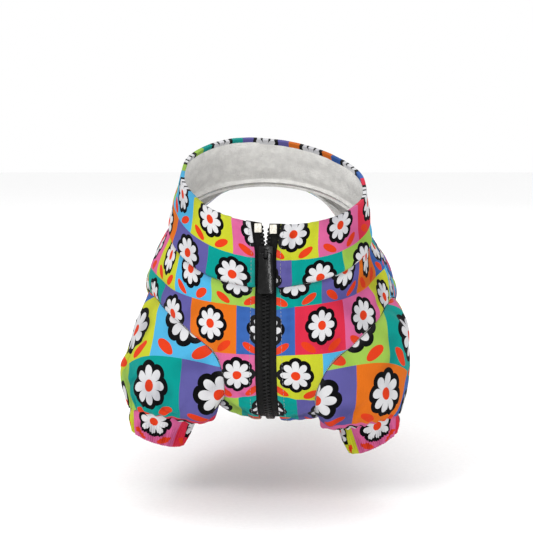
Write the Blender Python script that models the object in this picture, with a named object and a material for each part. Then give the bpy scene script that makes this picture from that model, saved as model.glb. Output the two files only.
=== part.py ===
"""A zip-front dog jacket, in the rounded form that it has when it is worn.

Metres, +Z up, the chest towards -Y and the wearer's left towards +X. The origin is the top of the
back at the neckline, where the jacket sits on the withers.

The body, sleeves, cuffs and collar are lofted through short tables of sections. Each table holds
shares of the sizes named here, so a size moves every section that follows it.
"""

import functools
import math
from collections import namedtuple

import bmesh
import bpy
from mathutils import Matrix, Vector
from mathutils.bvhtree import BVHTree

# Body
BACK_LENGTH = 0.250
BELLY_LENGTH = 0.140
CHEST_REACH = 0.138
CHEST_DEPTH = 0.177
BODY_WIDTH = 0.201
BODY_LEAN = 0.0095
ZIP_SWAY = 0.0053

# Neckline and collar
NECK_WIDTH = 0.150
NECK_REACH = 0.113
NECK_DROP = 0.067
NECK_LEAN = 0.0076
NECK_SWAY = 0.0005
COLLAR_FRONT = 0.0475
COLLAR_BACK = 0.037
RIM_WIDTH = 0.141
RIM_SETBACK = 0.014
RIM_LEAN = 0.0065
RIM_ROLL = 0.0056
COLLAR_SWELL = 0.0030
SWELL_RISE = 0.10
COLLAR_SLUMP = 0.0022
SLUMP_RISE = 0.45
SLUMP_SPREAD = 0.20
SLUMP_WAVES = 3
SLUMP_UNEVEN = 0.4

# Cloth and gaps
CLOTH = 0.0022
COLLAR_WALL = 0.0028
GAP = 0.0003
SEAM_GAP = 0.0005
SIDE_SEAM_GAP = 0.0012

# Armholes, each on a plane that faces out and down. Its top lies behind its middle by the rake.
ARMHOLE_LONG_RIGHT = 0.094
ARMHOLE_LONG_LEFT = 0.101
ARMHOLE_DEEP = 0.120
ARMHOLE_RAKE = 0.030
ARMHOLE_BACK = -0.062

# Sleeves and cuffs
SLEEVE_SPREAD = 0.111
SLEEVE_DROP = 0.186
SLEEVE_DEPTH = 0.108
SLEEVE_BACK = -0.060
CUFF_TUCK = 0.003
CUFF_GATHERS = 12
GATHER_DEPTH = 0.0009
SLEEVE_GATHER_START = 0.7
CUFF_GATHER_START = 0.2
DROOP_SHARPNESS = 1.5

# Zip, its width being the gap that shows between the panels
ZIP_WIDTH = 0.0158
ZIP_FLARE = 0.0034
ZIP_STIFF_TURN = 0.30
TAPE_WIDTH = 0.0125
TAPE_WALL = 0.0007
TAPE_SEAT = 0.0007
TEETH_WIDTH = 0.0028
TEETH_HEIGHT = 0.0016
TEETH_FLARE = 0.0028
STOP_WIDTH = 0.0052
STOP_OUT = 0.0014
STOP_LENGTH = 0.0066
STOP_HEIGHT = 0.0020
BOX_LENGTH = 0.0085
BOX_WIDTH = 0.0072
BOX_HEIGHT = 0.0030

# Slider and pull
SLIDER_DROP = 0.0215
SLIDER_LENGTH = 0.0100
SLIDER_WIDTH = 0.0106
SLIDER_PLATE = 0.0010
SLIDER_POST_WIDTH = 0.0008
SLIDER_POST_LENGTH = 0.0020
BRIDGE_LENGTH = 0.0060
BRIDGE_WIDTH = 0.0018
BRIDGE_WALL = 0.0008
PULL_LENGTH = 0.0302
PULL_TOP_WIDTH = 0.0094
PULL_END_WIDTH = 0.0124
PULL_WALL = 0.0018
PULL_BAR = 0.0011
PULL_CORNER = 0.0022
PULL_LEAN_DEG = 6

# One section of the body for each row, from the first behind the neckline to the rear hem. The top
# lies on the back line and the low point on the zip, at shares of BACK_LENGTH, CHEST_REACH,
# BELLY_LENGTH and CHEST_DEPTH. Half is a share of half of BODY_WIDTH, and lean and sway are shares of
# BODY_LEAN and ZIP_SWAY. Full says how square the section is above, and below on each side.
Section = namedtuple(
    "Section",
    "top_back top_rise low_front low_back low_drop half lean sway full_top full_left full_right",
)
BODY_SECTIONS = [
    Section(0.08, 0.015, 0.942, 0.00, 0.525, 0.800, 0.40, 0.10, 1.74, 2.05, 2.00),
    Section(0.18, 0.024, 1.000, 0.00, 0.678, 0.878, 0.55, 0.10, 1.58, 2.10, 1.95),
    Section(0.28, 0.026, 0.949, 0.00, 0.831, 0.940, 0.70, 0.28, 1.46, 2.35, 1.88),
    Section(0.39, 0.018, 0.797, 0.00, 0.935, 0.985, 1.00, 0.60, 1.47, 2.60, 1.84),
    Section(0.52, 0.004, 0.507, 0.00, 0.986, 0.952, 0.80, 1.00, 1.60, 2.55, 1.90),
    Section(0.66, -0.023, 0.110, 0.00, 1.000, 0.901, 0.45, 0.90, 2.00, 2.35, 2.10),
    Section(0.82, -0.062, 0.000, 0.43, 0.966, 0.837, 0.18, 0.60, 2.10, 2.25, 2.20),
    Section(1.00, -0.113, 0.000, 1.00, 0.893, 0.783, 0.09, 0.30, 2.15, 2.20, 2.20),
]
NECK_FULLNESS = 2.0
SIDE_SEAM_AT_NECK = 0.58
SIDE_SEAM_AT_HEM = 0.50

# Soft folds pressed into the body. Place runs from the neckline at 0 to the rear hem at 1, and turn
# is the angle from the zip, to the wearer's left. Each runs along a line that slants by slant turns
# for each unit of place, and fades out at its reach.
Fold = namedtuple("Fold", "place turn_deg slant_deg reach wide_deg depth")
BODY_FOLDS = [
    Fold(0.16, 62, 260, 0.12, 7, 0.0020),
    Fold(0.16, -58, -240, 0.12, 7, 0.0022),
    Fold(0.42, 24, -160, 0.10, 6, 0.0014),
    Fold(0.40, -27, 150, 0.10, 6, 0.0014),
    Fold(0.62, 78, 90, 0.14, 8, 0.0022),
    Fold(0.60, -74, -110, 0.14, 8, 0.0022),
    Fold(0.72, 150, -200, 0.12, 8, 0.0018),
    Fold(0.30, 172, 60, 0.10, 9, 0.0016),
]

# Sleeve and cuff sections, from below the armhole to the hem. Outer and inner are the two ends of a
# section seen from the front, as shares of SLEEVE_SPREAD and SLEEVE_DROP. Deep is a share of
# SLEEVE_DEPTH, and rake a share of ARMHOLE_RAKE. Droop, a share of SLEEVE_DROP, is how much lower the
# back of the section hangs, below the belly, and lift how much higher its front is drawn.
Ring = namedtuple("Ring", "outer_x outer_z inner_x inner_z deep rake droop lift")
SLEEVE_RIGHT = [
    Ring(0.908, 0.560, 0.350, 0.905, 1.02, 0.85, 0.098, 0.000),
    Ring(0.982, 0.693, 0.376, 0.925, 0.96, 0.60, 0.068, 0.000),
    Ring(1.001, 0.752, 0.399, 0.938, 0.90, 0.40, 0.044, 0.004),
    Ring(0.983, 0.816, 0.418, 0.945, 0.82, 0.20, 0.024, 0.012),
    Ring(0.951, 0.893, 0.430, 0.948, 0.68, 0.05, 0.008, 0.022),
]
SLEEVE_LEFT = [
    Ring(1.004, 0.545, 0.390, 0.942, 1.04, 0.85, 0.112, 0.000),
    Ring(1.002, 0.659, 0.412, 0.955, 0.98, 0.60, 0.078, 0.000),
    Ring(1.000, 0.744, 0.436, 0.967, 0.92, 0.40, 0.044, 0.004),
    Ring(0.983, 0.829, 0.462, 0.977, 0.82, 0.20, 0.024, 0.012),
    Ring(0.941, 0.918, 0.482, 0.985, 0.68, 0.05, 0.008, 0.022),
]
CUFF_RIGHT = [
    Ring(0.942, 0.940, 0.500, 0.980, 0.58, 0.00, 0.000, 0.012),
    Ring(0.925, 0.995, 0.568, 1.060, 0.44, 0.00, 0.000, 0.000),
]
CUFF_LEFT = [
    Ring(0.935, 0.952, 0.530, 1.020, 0.58, 0.00, 0.000, 0.012),
    Ring(0.918, 1.000, 0.588, 1.093, 0.44, 0.00, 0.000, 0.000),
]

# Side is -1 on the wearer's right and 1 on the left. The centre is seen from the front, as shares of
# SLEEVE_SPREAD and SLEEVE_DROP, and the long axis leans out from straight up by lean_deg.
Armhole = namedtuple("Armhole", "side long_size centre_x centre_z lean_deg")
ARMHOLE_RIGHT = Armhole(-1, ARMHOLE_LONG_RIGHT, 0.622, 0.668, 37.2)
ARMHOLE_LEFT = Armhole(1, ARMHOLE_LONG_LEFT, 0.702, 0.712, 38.2)
ARMHOLE_CUT_IN = 0.045
ARMHOLE_CUT_OUT = 0.060

# Mesh density
BODY_ROWS = 20
PANEL_COLUMNS = 12
BACK_COLUMNS = 18
SLEEVE_ROWS = 8
SLEEVE_SIDES = 48
CUFF_ROWS = 3
COLLAR_ROWS = 7
COLLAR_ROW_SPREAD = 1.4
COLLAR_COLUMNS = 40
ZIP_COLLAR_ROWS = 8
WALK_STEPS = 160
CORNER_STEPS = 5

# Colours and finishes
TEAL = (0.0, 0.38, 0.36)
VIOLET = (0.13, 0.12, 0.42)
PINK = (0.78, 0.16, 0.38)
ORANGE = (0.80, 0.19, 0.01)
BLACK = (0.012, 0.012, 0.012)
CREAM = (0.75, 0.71, 0.62)
FABRIC = 0.8
SATIN = 0.45
GLOSS = 0.15


def blend(rows, place):
    """The rows' values at place, from 0 at the first row to 1 at the last, on a smooth curve."""
    last = len(rows) - 1
    at = min(max(place, 0.0), 1.0) * last
    i = min(int(at), last - 1)
    t = at - i
    near = (rows[max(i - 1, 0)], rows[i], rows[i + 1], rows[min(i + 2, last)])
    values = []
    for a, b, c, d in zip(*near):
        slope = (c - a) * t
        bow = (2 * a - 5 * b + 4 * c - d) * t**2
        twist = (3 * b - a - 3 * c + d) * t**3
        values.append(b + 0.5 * (slope + bow + twist))
    return values


def eased(value):
    """From 0 to 1 with level ends."""
    value = min(max(value, 0.0), 1.0)
    return value * value * (3 - 2 * value)


def hump(distance, width):
    """1 in the middle, fading to nothing past the width."""
    return math.exp(-((distance / width) ** 2))


def power(value, exponent):
    return math.copysign(abs(value) ** exponent, value)


# The body's outer surface

def body_rows():
    """Sizes of each body section in metres, the neckline first."""
    neck = [0.0, 0.0, -NECK_REACH, -NECK_DROP, NECK_WIDTH / 2, NECK_LEAN, NECK_SWAY]
    rows = [neck + [NECK_FULLNESS] * 3]
    for s in BODY_SECTIONS:
        rows.append([
            s.top_back * BACK_LENGTH,
            s.top_rise * CHEST_DEPTH,
            s.low_back * BELLY_LENGTH - s.low_front * CHEST_REACH,
            -s.low_drop * CHEST_DEPTH,
            s.half * BODY_WIDTH / 2,
            s.lean * BODY_LEAN,
            s.sway * ZIP_SWAY,
            s.full_top,
            s.full_left,
            s.full_right,
        ])
    return rows


BODY = body_rows()


def fold_depth(place, angle):
    """How far the folds press the body in at this point."""
    turn = math.degrees(angle)
    if turn > 180:
        turn -= 360
    depth = 0.0
    for fold in BODY_FOLDS:
        off_place = place - fold.place
        off_turn = turn - fold.turn_deg - fold.slant_deg * off_place
        off_turn = (off_turn + 180) % 360 - 180
        depth += fold.depth * hump(off_place, fold.reach) * hump(off_turn, fold.wide_deg)
    return depth


def body_point(place, angle):
    """The body at a place from the neckline to the hem. Angle 0 is on the zip, 90 degrees at left."""
    top_y, top_z, low_y, low_z, half, lean, sway, full_top, full_left, full_right = blend(BODY, place)
    down = math.cos(angle)
    across = math.sin(angle)
    full_low = full_left if across > 0 else full_right
    full = full_top + (full_low - full_top) * eased((down + 1) / 2)
    down = power(down, 2 / full)
    across = power(across, 2 / full)
    middle = Vector((0, (top_y + low_y) / 2, (top_z + low_z) / 2))
    reach = Vector((0, (low_y - top_y) / 2, (low_z - top_z) / 2))
    offset = reach * down
    offset.x = half * across
    point = middle + offset * (1 - fold_depth(place, angle) / offset.length)
    point.x += lean * abs(across) * eased((down + 1) / 2) + sway * (1 - abs(across))
    return point


def collar_point(rise, angle):
    """The collar, from the neckline at rise 0 to the rim at rise 1."""
    base = body_point(0.0, angle)
    down = math.cos(angle)
    across = math.sin(angle)
    front = Vector((0, base_front().y + SEAM_GAP, base_front().z + COLLAR_FRONT))
    back = Vector((0, -RIM_SETBACK, COLLAR_BACK))
    rim = (front + back) / 2 + (front - back) / 2 * down
    rim.x = RIM_WIDTH / 2 * across + RIM_LEAN * abs(across) + NECK_SWAY * (1 - abs(across))
    rim.z -= RIM_ROLL * across
    point = base.lerp(rim, rise)
    outward = (base - Vector((NECK_LEAN, -NECK_REACH / 2, -NECK_DROP / 2))).normalized()
    turn = min(abs(angle), 2 * math.pi - abs(angle))
    swell = COLLAR_SWELL * rise / SWELL_RISE * math.exp(1 - rise / SWELL_RISE)
    evenness = 1 - SLUMP_UNEVEN + SLUMP_UNEVEN * math.cos(SLUMP_WAVES * angle)
    slump = COLLAR_SLUMP * hump(rise - SLUMP_RISE, SLUMP_SPREAD) * evenness
    return point + outward * (swell + slump) * (1 - hump(turn, ZIP_STIFF_TURN))


def base_front():
    return Vector((0, -NECK_REACH, -NECK_DROP))


def walk(point_at, side):
    """Points down one half of a ring, from the zip to the back, with their distances from the zip."""
    points = [point_at(side * math.pi * i / WALK_STEPS) for i in range(WALK_STEPS + 1)]
    lengths = [0.0]
    for a, b in zip(points, points[1:]):
        lengths.append(lengths[-1] + (b - a).length)
    return points, lengths


def along(points, lengths, distance):
    """The point at a distance down a walk."""
    i = 0
    while i < len(points) - 2 and lengths[i + 1] < distance:
        i += 1
    share = (distance - lengths[i]) / (lengths[i + 1] - lengths[i])
    return points[i].lerp(points[i + 1], min(max(share, 0.0), 1.0))


# Mesh building

def finish_object(name, bm, colour, roughness, metallic=0.0, sharp_deg=40):
    mesh = bpy.data.meshes.new(name)
    bm.to_mesh(mesh)
    bm.free()
    mesh.shade_smooth()
    mesh.set_sharp_from_angle(angle=math.radians(sharp_deg))
    material = bpy.data.materials.new(name)
    material.use_nodes = True
    shader = material.node_tree.nodes["Principled BSDF"]
    shader.inputs["Base Color"].default_value = (*colour, 1)
    shader.inputs["Roughness"].default_value = roughness
    shader.inputs["Metallic"].default_value = metallic
    mesh.materials.append(material)
    made = bpy.data.objects.new(name, mesh)
    bpy.context.scene.collection.objects.link(made)
    return made


def grid_mesh(rows, inside, closed=False):
    """A sheet of quads through equal rows of points, whose faces point away from the inside point."""
    bm = bmesh.new()
    verts = [[bm.verts.new(p) for p in row] for row in rows]
    columns = len(rows[0])
    for upper, lower in zip(verts, verts[1:]):
        for i in range(columns if closed else columns - 1):
            j = (i + 1) % columns
            bm.faces.new((upper[i], lower[i], lower[j], upper[j]))
    bm.normal_update()
    if sum(f.normal.dot(f.calc_center_median() - inside) for f in bm.faces) < 0:
        bmesh.ops.reverse_faces(bm, faces=bm.faces)
        bm.normal_update()
    return bm


def thicken(obj, wall):
    modifier = obj.modifiers.new("Wall", "SOLIDIFY")
    modifier.thickness = wall
    modifier.offset = -1
    modifier.use_even_offset = False


def combine(obj, other, operation):
    """Cuts or joins with another object, which is only a guide from then on."""
    modifier = obj.modifiers.new(other.name, "BOOLEAN")
    modifier.operation = operation
    modifier.solver = "EXACT"
    modifier.object = other
    other.hide_render = True
    other.display_type = "WIRE"


def body_middle():
    return Vector((0, 0.0, -CHEST_DEPTH / 2))


# Body panels

def front_panel(name, side, armhole_cutter):
    """From the zip's edge round the chest and belly to the side seam."""
    rows = []
    for r in range(BODY_ROWS + 1):
        place = r / BODY_ROWS
        points, lengths = walk(lambda angle: body_point(place, angle), side)
        start = ZIP_WIDTH / 2
        end = side_seam(place, lengths[-1]) - SIDE_SEAM_GAP / 2
        step = (end - start) / PANEL_COLUMNS
        rows.append([along(points, lengths, start + step * c) for c in range(PANEL_COLUMNS + 1)])
    panel = finish_object(name, grid_mesh(rows, body_middle()), PINK, FABRIC)
    thicken(panel, CLOTH)
    combine(panel, armhole_cutter, "DIFFERENCE")


def back_panel(name, cutters):
    """Over the back, from one side seam to the other."""
    rows = []
    for r in range(BODY_ROWS + 1):
        place = r / BODY_ROWS
        halves = []
        for side in (-1, 1):
            points, lengths = walk(lambda angle: body_point(place, angle), side)
            start = side_seam(place, lengths[-1]) + SIDE_SEAM_GAP / 2
            step = (lengths[-1] - start) / (BACK_COLUMNS // 2)
            halves.append([along(points, lengths, start + step * c) for c in range(BACK_COLUMNS // 2 + 1)])
        rows.append(halves[0] + halves[1][-2::-1])
    panel = finish_object(name, grid_mesh(rows, body_middle()), TEAL, FABRIC)
    thicken(panel, CLOTH)
    for cutter in cutters:
        combine(panel, cutter, "DIFFERENCE")


def side_seam(place, girth):
    return girth * (SIDE_SEAM_AT_NECK + (SIDE_SEAM_AT_HEM - SIDE_SEAM_AT_NECK) * place)


# Armholes and sleeves

def armhole_loop(armhole, shrink=0.0):
    """Points round the armhole on its own plane, and the way that the plane faces."""
    lean = math.radians(armhole.lean_deg)
    centre = Vector((
        armhole.side * armhole.centre_x * SLEEVE_SPREAD,
        ARMHOLE_BACK,
        -armhole.centre_z * SLEEVE_DROP,
    ))
    long_axis = Vector((armhole.side * math.sin(lean), 0, math.cos(lean)))
    facing = Vector((armhole.side * math.cos(lean), 0, -math.sin(lean)))
    long_half = armhole.long_size / 2 - shrink
    deep_half = ARMHOLE_DEEP / 2 - shrink
    loop = []
    for i in range(SLEEVE_SIDES):
        angle = 2 * math.pi * i / SLEEVE_SIDES
        forward = deep_half * math.sin(angle) - ARMHOLE_RAKE * math.cos(angle)
        loop.append(centre + long_axis * long_half * math.cos(angle) + Vector((0, -forward, 0)))
    return loop, facing


def armhole_cutter(name, armhole):
    loop, facing = armhole_loop(armhole)
    rows = [
        [p - facing * ARMHOLE_CUT_IN for p in loop],
        [p + facing * ARMHOLE_CUT_OUT for p in loop],
    ]
    bm = grid_mesh(rows, sum(loop, Vector()) / len(loop), closed=True)
    bmesh.ops.holes_fill(bm, edges=bm.edges)
    bmesh.ops.recalc_face_normals(bm, faces=bm.faces)
    return finish_object(name, bm, BLACK, FABRIC)


def body_tree():
    """The whole outer surface of the body, to find where the sleeves leave it."""
    rows = []
    for r in range(BODY_ROWS + 1):
        place = r / BODY_ROWS
        steps = 2 * (PANEL_COLUMNS + BACK_COLUMNS)
        rows.append([body_point(place, 2 * math.pi * i / steps) for i in range(steps)])
    bm = grid_mesh(rows, body_middle(), closed=True)
    tree = BVHTree.FromBMesh(bm)
    bm.free()
    return tree


def seam_on_body(armhole, tree):
    """The sleeve's top edge, just inside the armhole."""
    loop, facing = armhole_loop(armhole, SEAM_GAP)
    outside = facing * SLEEVE_SPREAD
    return [tree.ray_cast(p + outside, -facing)[0] for p in loop]


def ring_points(ring, side, tuck=0.0):
    outer = Vector((side * ring.outer_x * SLEEVE_SPREAD, SLEEVE_BACK, -ring.outer_z * SLEEVE_DROP))
    inner = Vector((side * ring.inner_x * SLEEVE_SPREAD, SLEEVE_BACK, -ring.inner_z * SLEEVE_DROP))
    long_axis = (outer - inner) / 2
    long_axis -= long_axis.normalized() * tuck
    deep = ring.deep * SLEEVE_DEPTH / 2 - tuck
    rake = ring.rake * ARMHOLE_RAKE
    points = []
    for i in range(SLEEVE_SIDES):
        angle = 2 * math.pi * i / SLEEVE_SIDES
        forward = deep * math.sin(angle) - rake * math.cos(angle)
        droop = ring.droop * max(-math.sin(angle), 0.0) ** DROOP_SHARPNESS
        lift = ring.lift * max(math.sin(angle), 0.0) ** DROOP_SHARPNESS
        middle = (outer + inner) / 2 + Vector((0, -forward, (lift - droop) * SLEEVE_DROP))
        points.append(middle + long_axis * math.cos(angle))
    return points


def loft(rings, count):
    """Rows of points on smooth curves through the rings."""
    flat = [[value for point in ring for value in point] for ring in rings]
    rows = []
    for r in range(count + 1):
        values = blend(flat, r / count)
        rows.append([Vector(values[i : i + 3]) for i in range(0, len(values), 3)])
    return rows


def gathered(rows, depth, start):
    """The rows pulled into small gathers, which grow from the start share to the last row."""
    moved = []
    for r, row in enumerate(rows):
        amount = depth * eased((r / (len(rows) - 1) - start) / (1 - start))
        middle = sum(row, Vector()) / len(row)
        new_row = []
        for i, p in enumerate(row):
            wave = math.cos(CUFF_GATHERS * 2 * math.pi * i / len(row))
            new_row.append(p + (p - middle).normalized() * amount * wave)
        moved.append(new_row)
    return moved


def tube(name, rows, colour):
    inside = sum(rows[len(rows) // 2], Vector()) / len(rows[0])
    made = finish_object(name, grid_mesh(rows, inside, closed=True), colour, FABRIC)
    thicken(made, CLOTH)


def sleeve(name, armhole, table, tree):
    rings = [seam_on_body(armhole, tree)] + [ring_points(ring, armhole.side) for ring in table]
    tube(name, gathered(loft(rings, SLEEVE_ROWS), GATHER_DEPTH, SLEEVE_GATHER_START), ORANGE)


def cuff(name, side, seam_ring, table):
    """Its top edge is tucked up inside the sleeve's lower edge."""
    top = ring_points(seam_ring, side, CLOTH + SEAM_GAP + GATHER_DEPTH * 2)
    rings = [[p + Vector((0, 0, CUFF_TUCK)) for p in top]]
    rings += [ring_points(ring, side) for ring in table]
    tube(name, gathered(loft(rings, CUFF_ROWS), GATHER_DEPTH, CUFF_GATHER_START), VIOLET)


# Collar

def flare(rise):
    """0 below the slider, and 1 at the rim, where the zip is open."""
    slider_rise = 1 - SLIDER_DROP / COLLAR_FRONT
    return max(rise - slider_rise, 0.0) / (1 - slider_rise)


def collar(name):
    rows = []
    for r in range(COLLAR_ROWS + 1):
        rise = (r / COLLAR_ROWS) ** COLLAR_ROW_SPREAD
        halves = []
        for side in (-1, 1):
            points, lengths = walk(lambda angle: collar_point(rise, angle), side)
            start = ZIP_WIDTH / 2 + ZIP_FLARE * flare(rise)
            step = (lengths[-1] - start) / (COLLAR_COLUMNS // 2)
            halves.append([
                along(points, lengths, start + step * c) for c in range(COLLAR_COLUMNS // 2 + 1)
            ])
        rows.append(halves[0] + halves[1][-2::-1])
    rows[0] = [p + Vector((0, 0, SEAM_GAP)) for p in rows[0]]
    inside = Vector((NECK_LEAN, -NECK_REACH / 2, -NECK_DROP / 3))
    made = finish_object(name, grid_mesh(rows, inside), VIOLET, FABRIC)
    thicken(made, COLLAR_WALL)


# Zip

ZipRow = namedtuple("ZipRow", "surface opened wall")


def zip_rows():
    """The surface that the zip lies in at each of its rows, from the rim down to the rear hem."""
    rows = []
    for r in range(ZIP_COLLAR_ROWS + 1):
        rise = 1 - r / ZIP_COLLAR_ROWS
        surface = functools.partial(collar_point, rise)
        rows.append(ZipRow(surface, TEETH_FLARE * flare(rise), COLLAR_WALL))
    for r in range(1, BODY_ROWS + 1):
        rows.append(ZipRow(functools.partial(body_point, r / BODY_ROWS), 0.0, CLOTH))
    return rows


def sunk(side, distances, depth):
    """Rows of points at these distances from the zip's middle, depth under the inside of the cloth."""
    rows = zip_rows()
    walks = [walk(row.surface, side) for row in rows]
    across = [
        [along(*walked, distance + row.opened + step) for distance in distances for step in (0, GAP)]
        for walked, row in zip(walks, rows)
    ]
    sunk_rows = []
    for r, row in enumerate(rows):
        above = across[max(r - 1, 0)]
        below = across[min(r + 1, len(rows) - 1)]
        new_row = []
        for i in range(0, len(across[r]), 2):
            here = across[r][i]
            out = (across[r][i + 1] - here).cross(below[i] - above[i]).normalized() * -side
            new_row.append(here - out * (row.wall + depth))
        sunk_rows.append(new_row)
    return sunk_rows


def zip_strip(name, side, distances, depth, height):
    made = finish_object(name, grid_mesh(sunk(side, distances, depth), body_middle()), BLACK, FABRIC)
    thicken(made, height)


def slider_frame():
    """The slider's place: x across the zip, y up along it and z out of the cloth."""
    rise = 1 - SLIDER_DROP / COLLAR_FRONT
    middle = collar_point(rise, 0)
    half = SLIDER_LENGTH / COLLAR_FRONT / 2
    up = (collar_point(rise + half, 0) - collar_point(rise - half, 0)).normalized()
    right = Vector((1, 0, 0))
    out = right.cross(up).normalized()
    frame = Matrix((right, up, out)).transposed().to_4x4()
    frame.translation = middle
    return frame


def block(name, low, high, frame, colour=BLACK, roughness=SATIN):
    """A box between two corners given in the frame."""
    bm = bmesh.new()
    bmesh.ops.create_cube(bm, size=1)
    size = Vector(high) - Vector(low)
    middle = (Vector(high) + Vector(low)) / 2
    bmesh.ops.scale(bm, vec=size, verts=bm.verts)
    bmesh.ops.translate(bm, vec=middle, verts=bm.verts)
    bmesh.ops.transform(bm, matrix=frame, verts=bm.verts)
    return finish_object(name, bm, colour, roughness, sharp_deg=30)


TAPE_TOP = -(COLLAR_WALL + TAPE_SEAT)
TAPE_UNDER = TAPE_TOP - TAPE_WALL
TEETH_TOP = TAPE_TOP + GAP + TEETH_HEIGHT
PLATE_TOP = TEETH_TOP + GAP + SLIDER_PLATE
BAR_ROOM = math.hypot(PULL_WALL, PULL_BAR) / 2 + GAP
PIVOT_RISE = PLATE_TOP + BAR_ROOM + GAP
BRIDGE_TOP = PIVOT_RISE + BAR_ROOM + BRIDGE_WALL


def slider(name):
    """Two plates round the teeth, joined by the post between the open tapes, with a bridge on top."""
    half_width = SLIDER_WIDTH / 2
    half_length = SLIDER_LENGTH / 2
    half_post = SLIDER_POST_WIDTH / 2
    flange = half_width - SLIDER_PLATE
    roof = TEETH_TOP + GAP
    skirt = TAPE_TOP + GAP
    floor = TAPE_UNDER - GAP
    base = floor - SLIDER_PLATE
    bm = bmesh.new()
    top = bm.faces.new(points_at(bm, half_length, [
        (-half_width, skirt), (-flange, skirt), (-flange, roof), (-half_post, roof),
        (half_post, roof), (flange, roof), (flange, skirt), (half_width, skirt),
        (half_width, PLATE_TOP), (-half_width, PLATE_TOP),
    ]))
    bottom = bm.faces.new(points_at(bm, half_length, [
        (-half_width, base), (half_width, base), (half_width, floor),
        (half_post, floor), (-half_post, floor), (-half_width, floor),
    ]))
    post = bm.faces.new([bottom.verts[4], bottom.verts[3], top.verts[4], top.verts[3]])
    grown = bmesh.ops.extrude_face_region(bm, geom=[top, bottom, post])["geom"]
    slide(bm, grown, -SLIDER_POST_LENGTH)
    faces = [item for item in grown if isinstance(item, bmesh.types.BMFace)]
    plates = [face for face in faces if len(face.verts) > 4]
    grown = bmesh.ops.extrude_face_region(bm, geom=plates)["geom"]
    slide(bm, grown, SLIDER_POST_LENGTH - SLIDER_LENGTH)
    bmesh.ops.delete(bm, geom=plates, context="FACES_ONLY")
    bmesh.ops.recalc_face_normals(bm, faces=bm.faces)
    made = finish_object(name, bm, BLACK, SATIN, sharp_deg=30)
    made.matrix_world = slider_frame()
    combine(made, bridge(f"{name}_bridge"), "UNION")


def points_at(bm, y, outline):
    return [bm.verts.new((x, y, z)) for x, z in outline]


def slide(bm, grown, distance):
    moved = [item for item in grown if isinstance(item, bmesh.types.BMVert)]
    bmesh.ops.translate(bm, vec=(0, distance, 0), verts=moved)


def bridge(name):
    """An arch along the slider, whose feet stand halfway into the top plate."""
    end = BRIDGE_LENGTH / 2
    foot = PLATE_TOP - SLIDER_PLATE / 2
    outline = [
        (-end, foot), (-end, BRIDGE_TOP), (end, BRIDGE_TOP), (end, foot),
        (end - BRIDGE_WALL, foot), (end - BRIDGE_WALL, BRIDGE_TOP - BRIDGE_WALL),
        (BRIDGE_WALL - end, BRIDGE_TOP - BRIDGE_WALL), (BRIDGE_WALL - end, foot),
    ]
    bm = bmesh.new()
    face = bm.faces.new([bm.verts.new((-BRIDGE_WIDTH / 2, y, z)) for y, z in outline])
    grown = bmesh.ops.extrude_face_region(bm, geom=[face])["geom"]
    raised = [item for item in grown if isinstance(item, bmesh.types.BMVert)]
    bmesh.ops.translate(bm, vec=(BRIDGE_WIDTH, 0, 0), verts=raised)
    bmesh.ops.recalc_face_normals(bm, faces=bm.faces)
    made = finish_object(name, bm, BLACK, SATIN, sharp_deg=30)
    made.matrix_world = slider_frame()
    return made


def pull(name):
    """A tab whose top bar turns under the slider's bridge. Its origin is on that bar's axis."""
    top = PULL_BAR / 2
    end = top - PULL_LENGTH
    corners = [
        (PULL_TOP_WIDTH / 2, top),
        (-PULL_TOP_WIDTH / 2, top),
        (-PULL_END_WIDTH / 2, end),
        (PULL_END_WIDTH / 2, end),
    ]
    outline = rounded(corners, PULL_CORNER)
    bm = bmesh.new()
    face = bm.faces.new([bm.verts.new((x, y, -PULL_WALL / 2)) for x, y in outline])
    grown = bmesh.ops.extrude_face_region(bm, geom=[face])["geom"]
    raised = [item for item in grown if isinstance(item, bmesh.types.BMVert)]
    bmesh.ops.translate(bm, vec=(0, 0, PULL_WALL), verts=raised)
    bmesh.ops.recalc_face_normals(bm, faces=bm.faces)
    made = finish_object(name, bm, BLACK, GLOSS, sharp_deg=30)
    window_half = BRIDGE_WIDTH / 2 + 2 * GAP
    reach = math.hypot(BRIDGE_LENGTH / 2, BRIDGE_TOP - PIVOT_RISE) + 2 * GAP
    window = block(
        f"{name}_window", (-window_half, -reach, -PULL_WALL), (window_half, -top, PULL_WALL), Matrix()
    )
    window.parent = made
    combine(made, window, "DIFFERENCE")
    lean = Matrix.Rotation(math.radians(-PULL_LEAN_DEG), 4, "X")
    made.matrix_world = slider_frame() @ Matrix.Translation((0, 0, PIVOT_RISE)) @ lean


def rounded(corners, radius):
    """The outline through the corners, each rounded to the radius."""
    outline = []
    for i, corner in enumerate(corners):
        here = Vector(corner)
        before = (Vector(corners[i - 1]) - here).normalized()
        after = (Vector(corners[(i + 1) % len(corners)]) - here).normalized()
        half = math.acos(max(-1.0, min(1.0, before.dot(after)))) / 2
        centre = here + (before + after).normalized() * radius / math.sin(half)
        first = here + before * radius / math.tan(half) - centre
        last = here + after * radius / math.tan(half) - centre
        for step in range(CORNER_STEPS + 1):
            outline.append(centre + first.lerp(last, step / CORNER_STEPS).normalized() * radius)
    return outline


def end_frame(at_rim, side, offset):
    """A place on the tape, offset from the zip's middle, near the rim or the rear hem."""
    rows = zip_rows()
    length = STOP_LENGTH if at_rim else BOX_LENGTH
    ends = rows[:2] if at_rim else rows[:-3:-1]
    points = [along(*walk(row.surface, side), offset) for row in ends]
    inward = (points[1] - points[0]).normalized()
    up = -inward if at_rim else inward
    right = Vector((1, 0, 0))
    right = (right - up * right.dot(up)).normalized()
    frame = Matrix((right, up, right.cross(up))).transposed().to_4x4()
    frame.translation = points[0] + inward * (length / 2 + GAP)
    return frame


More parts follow.
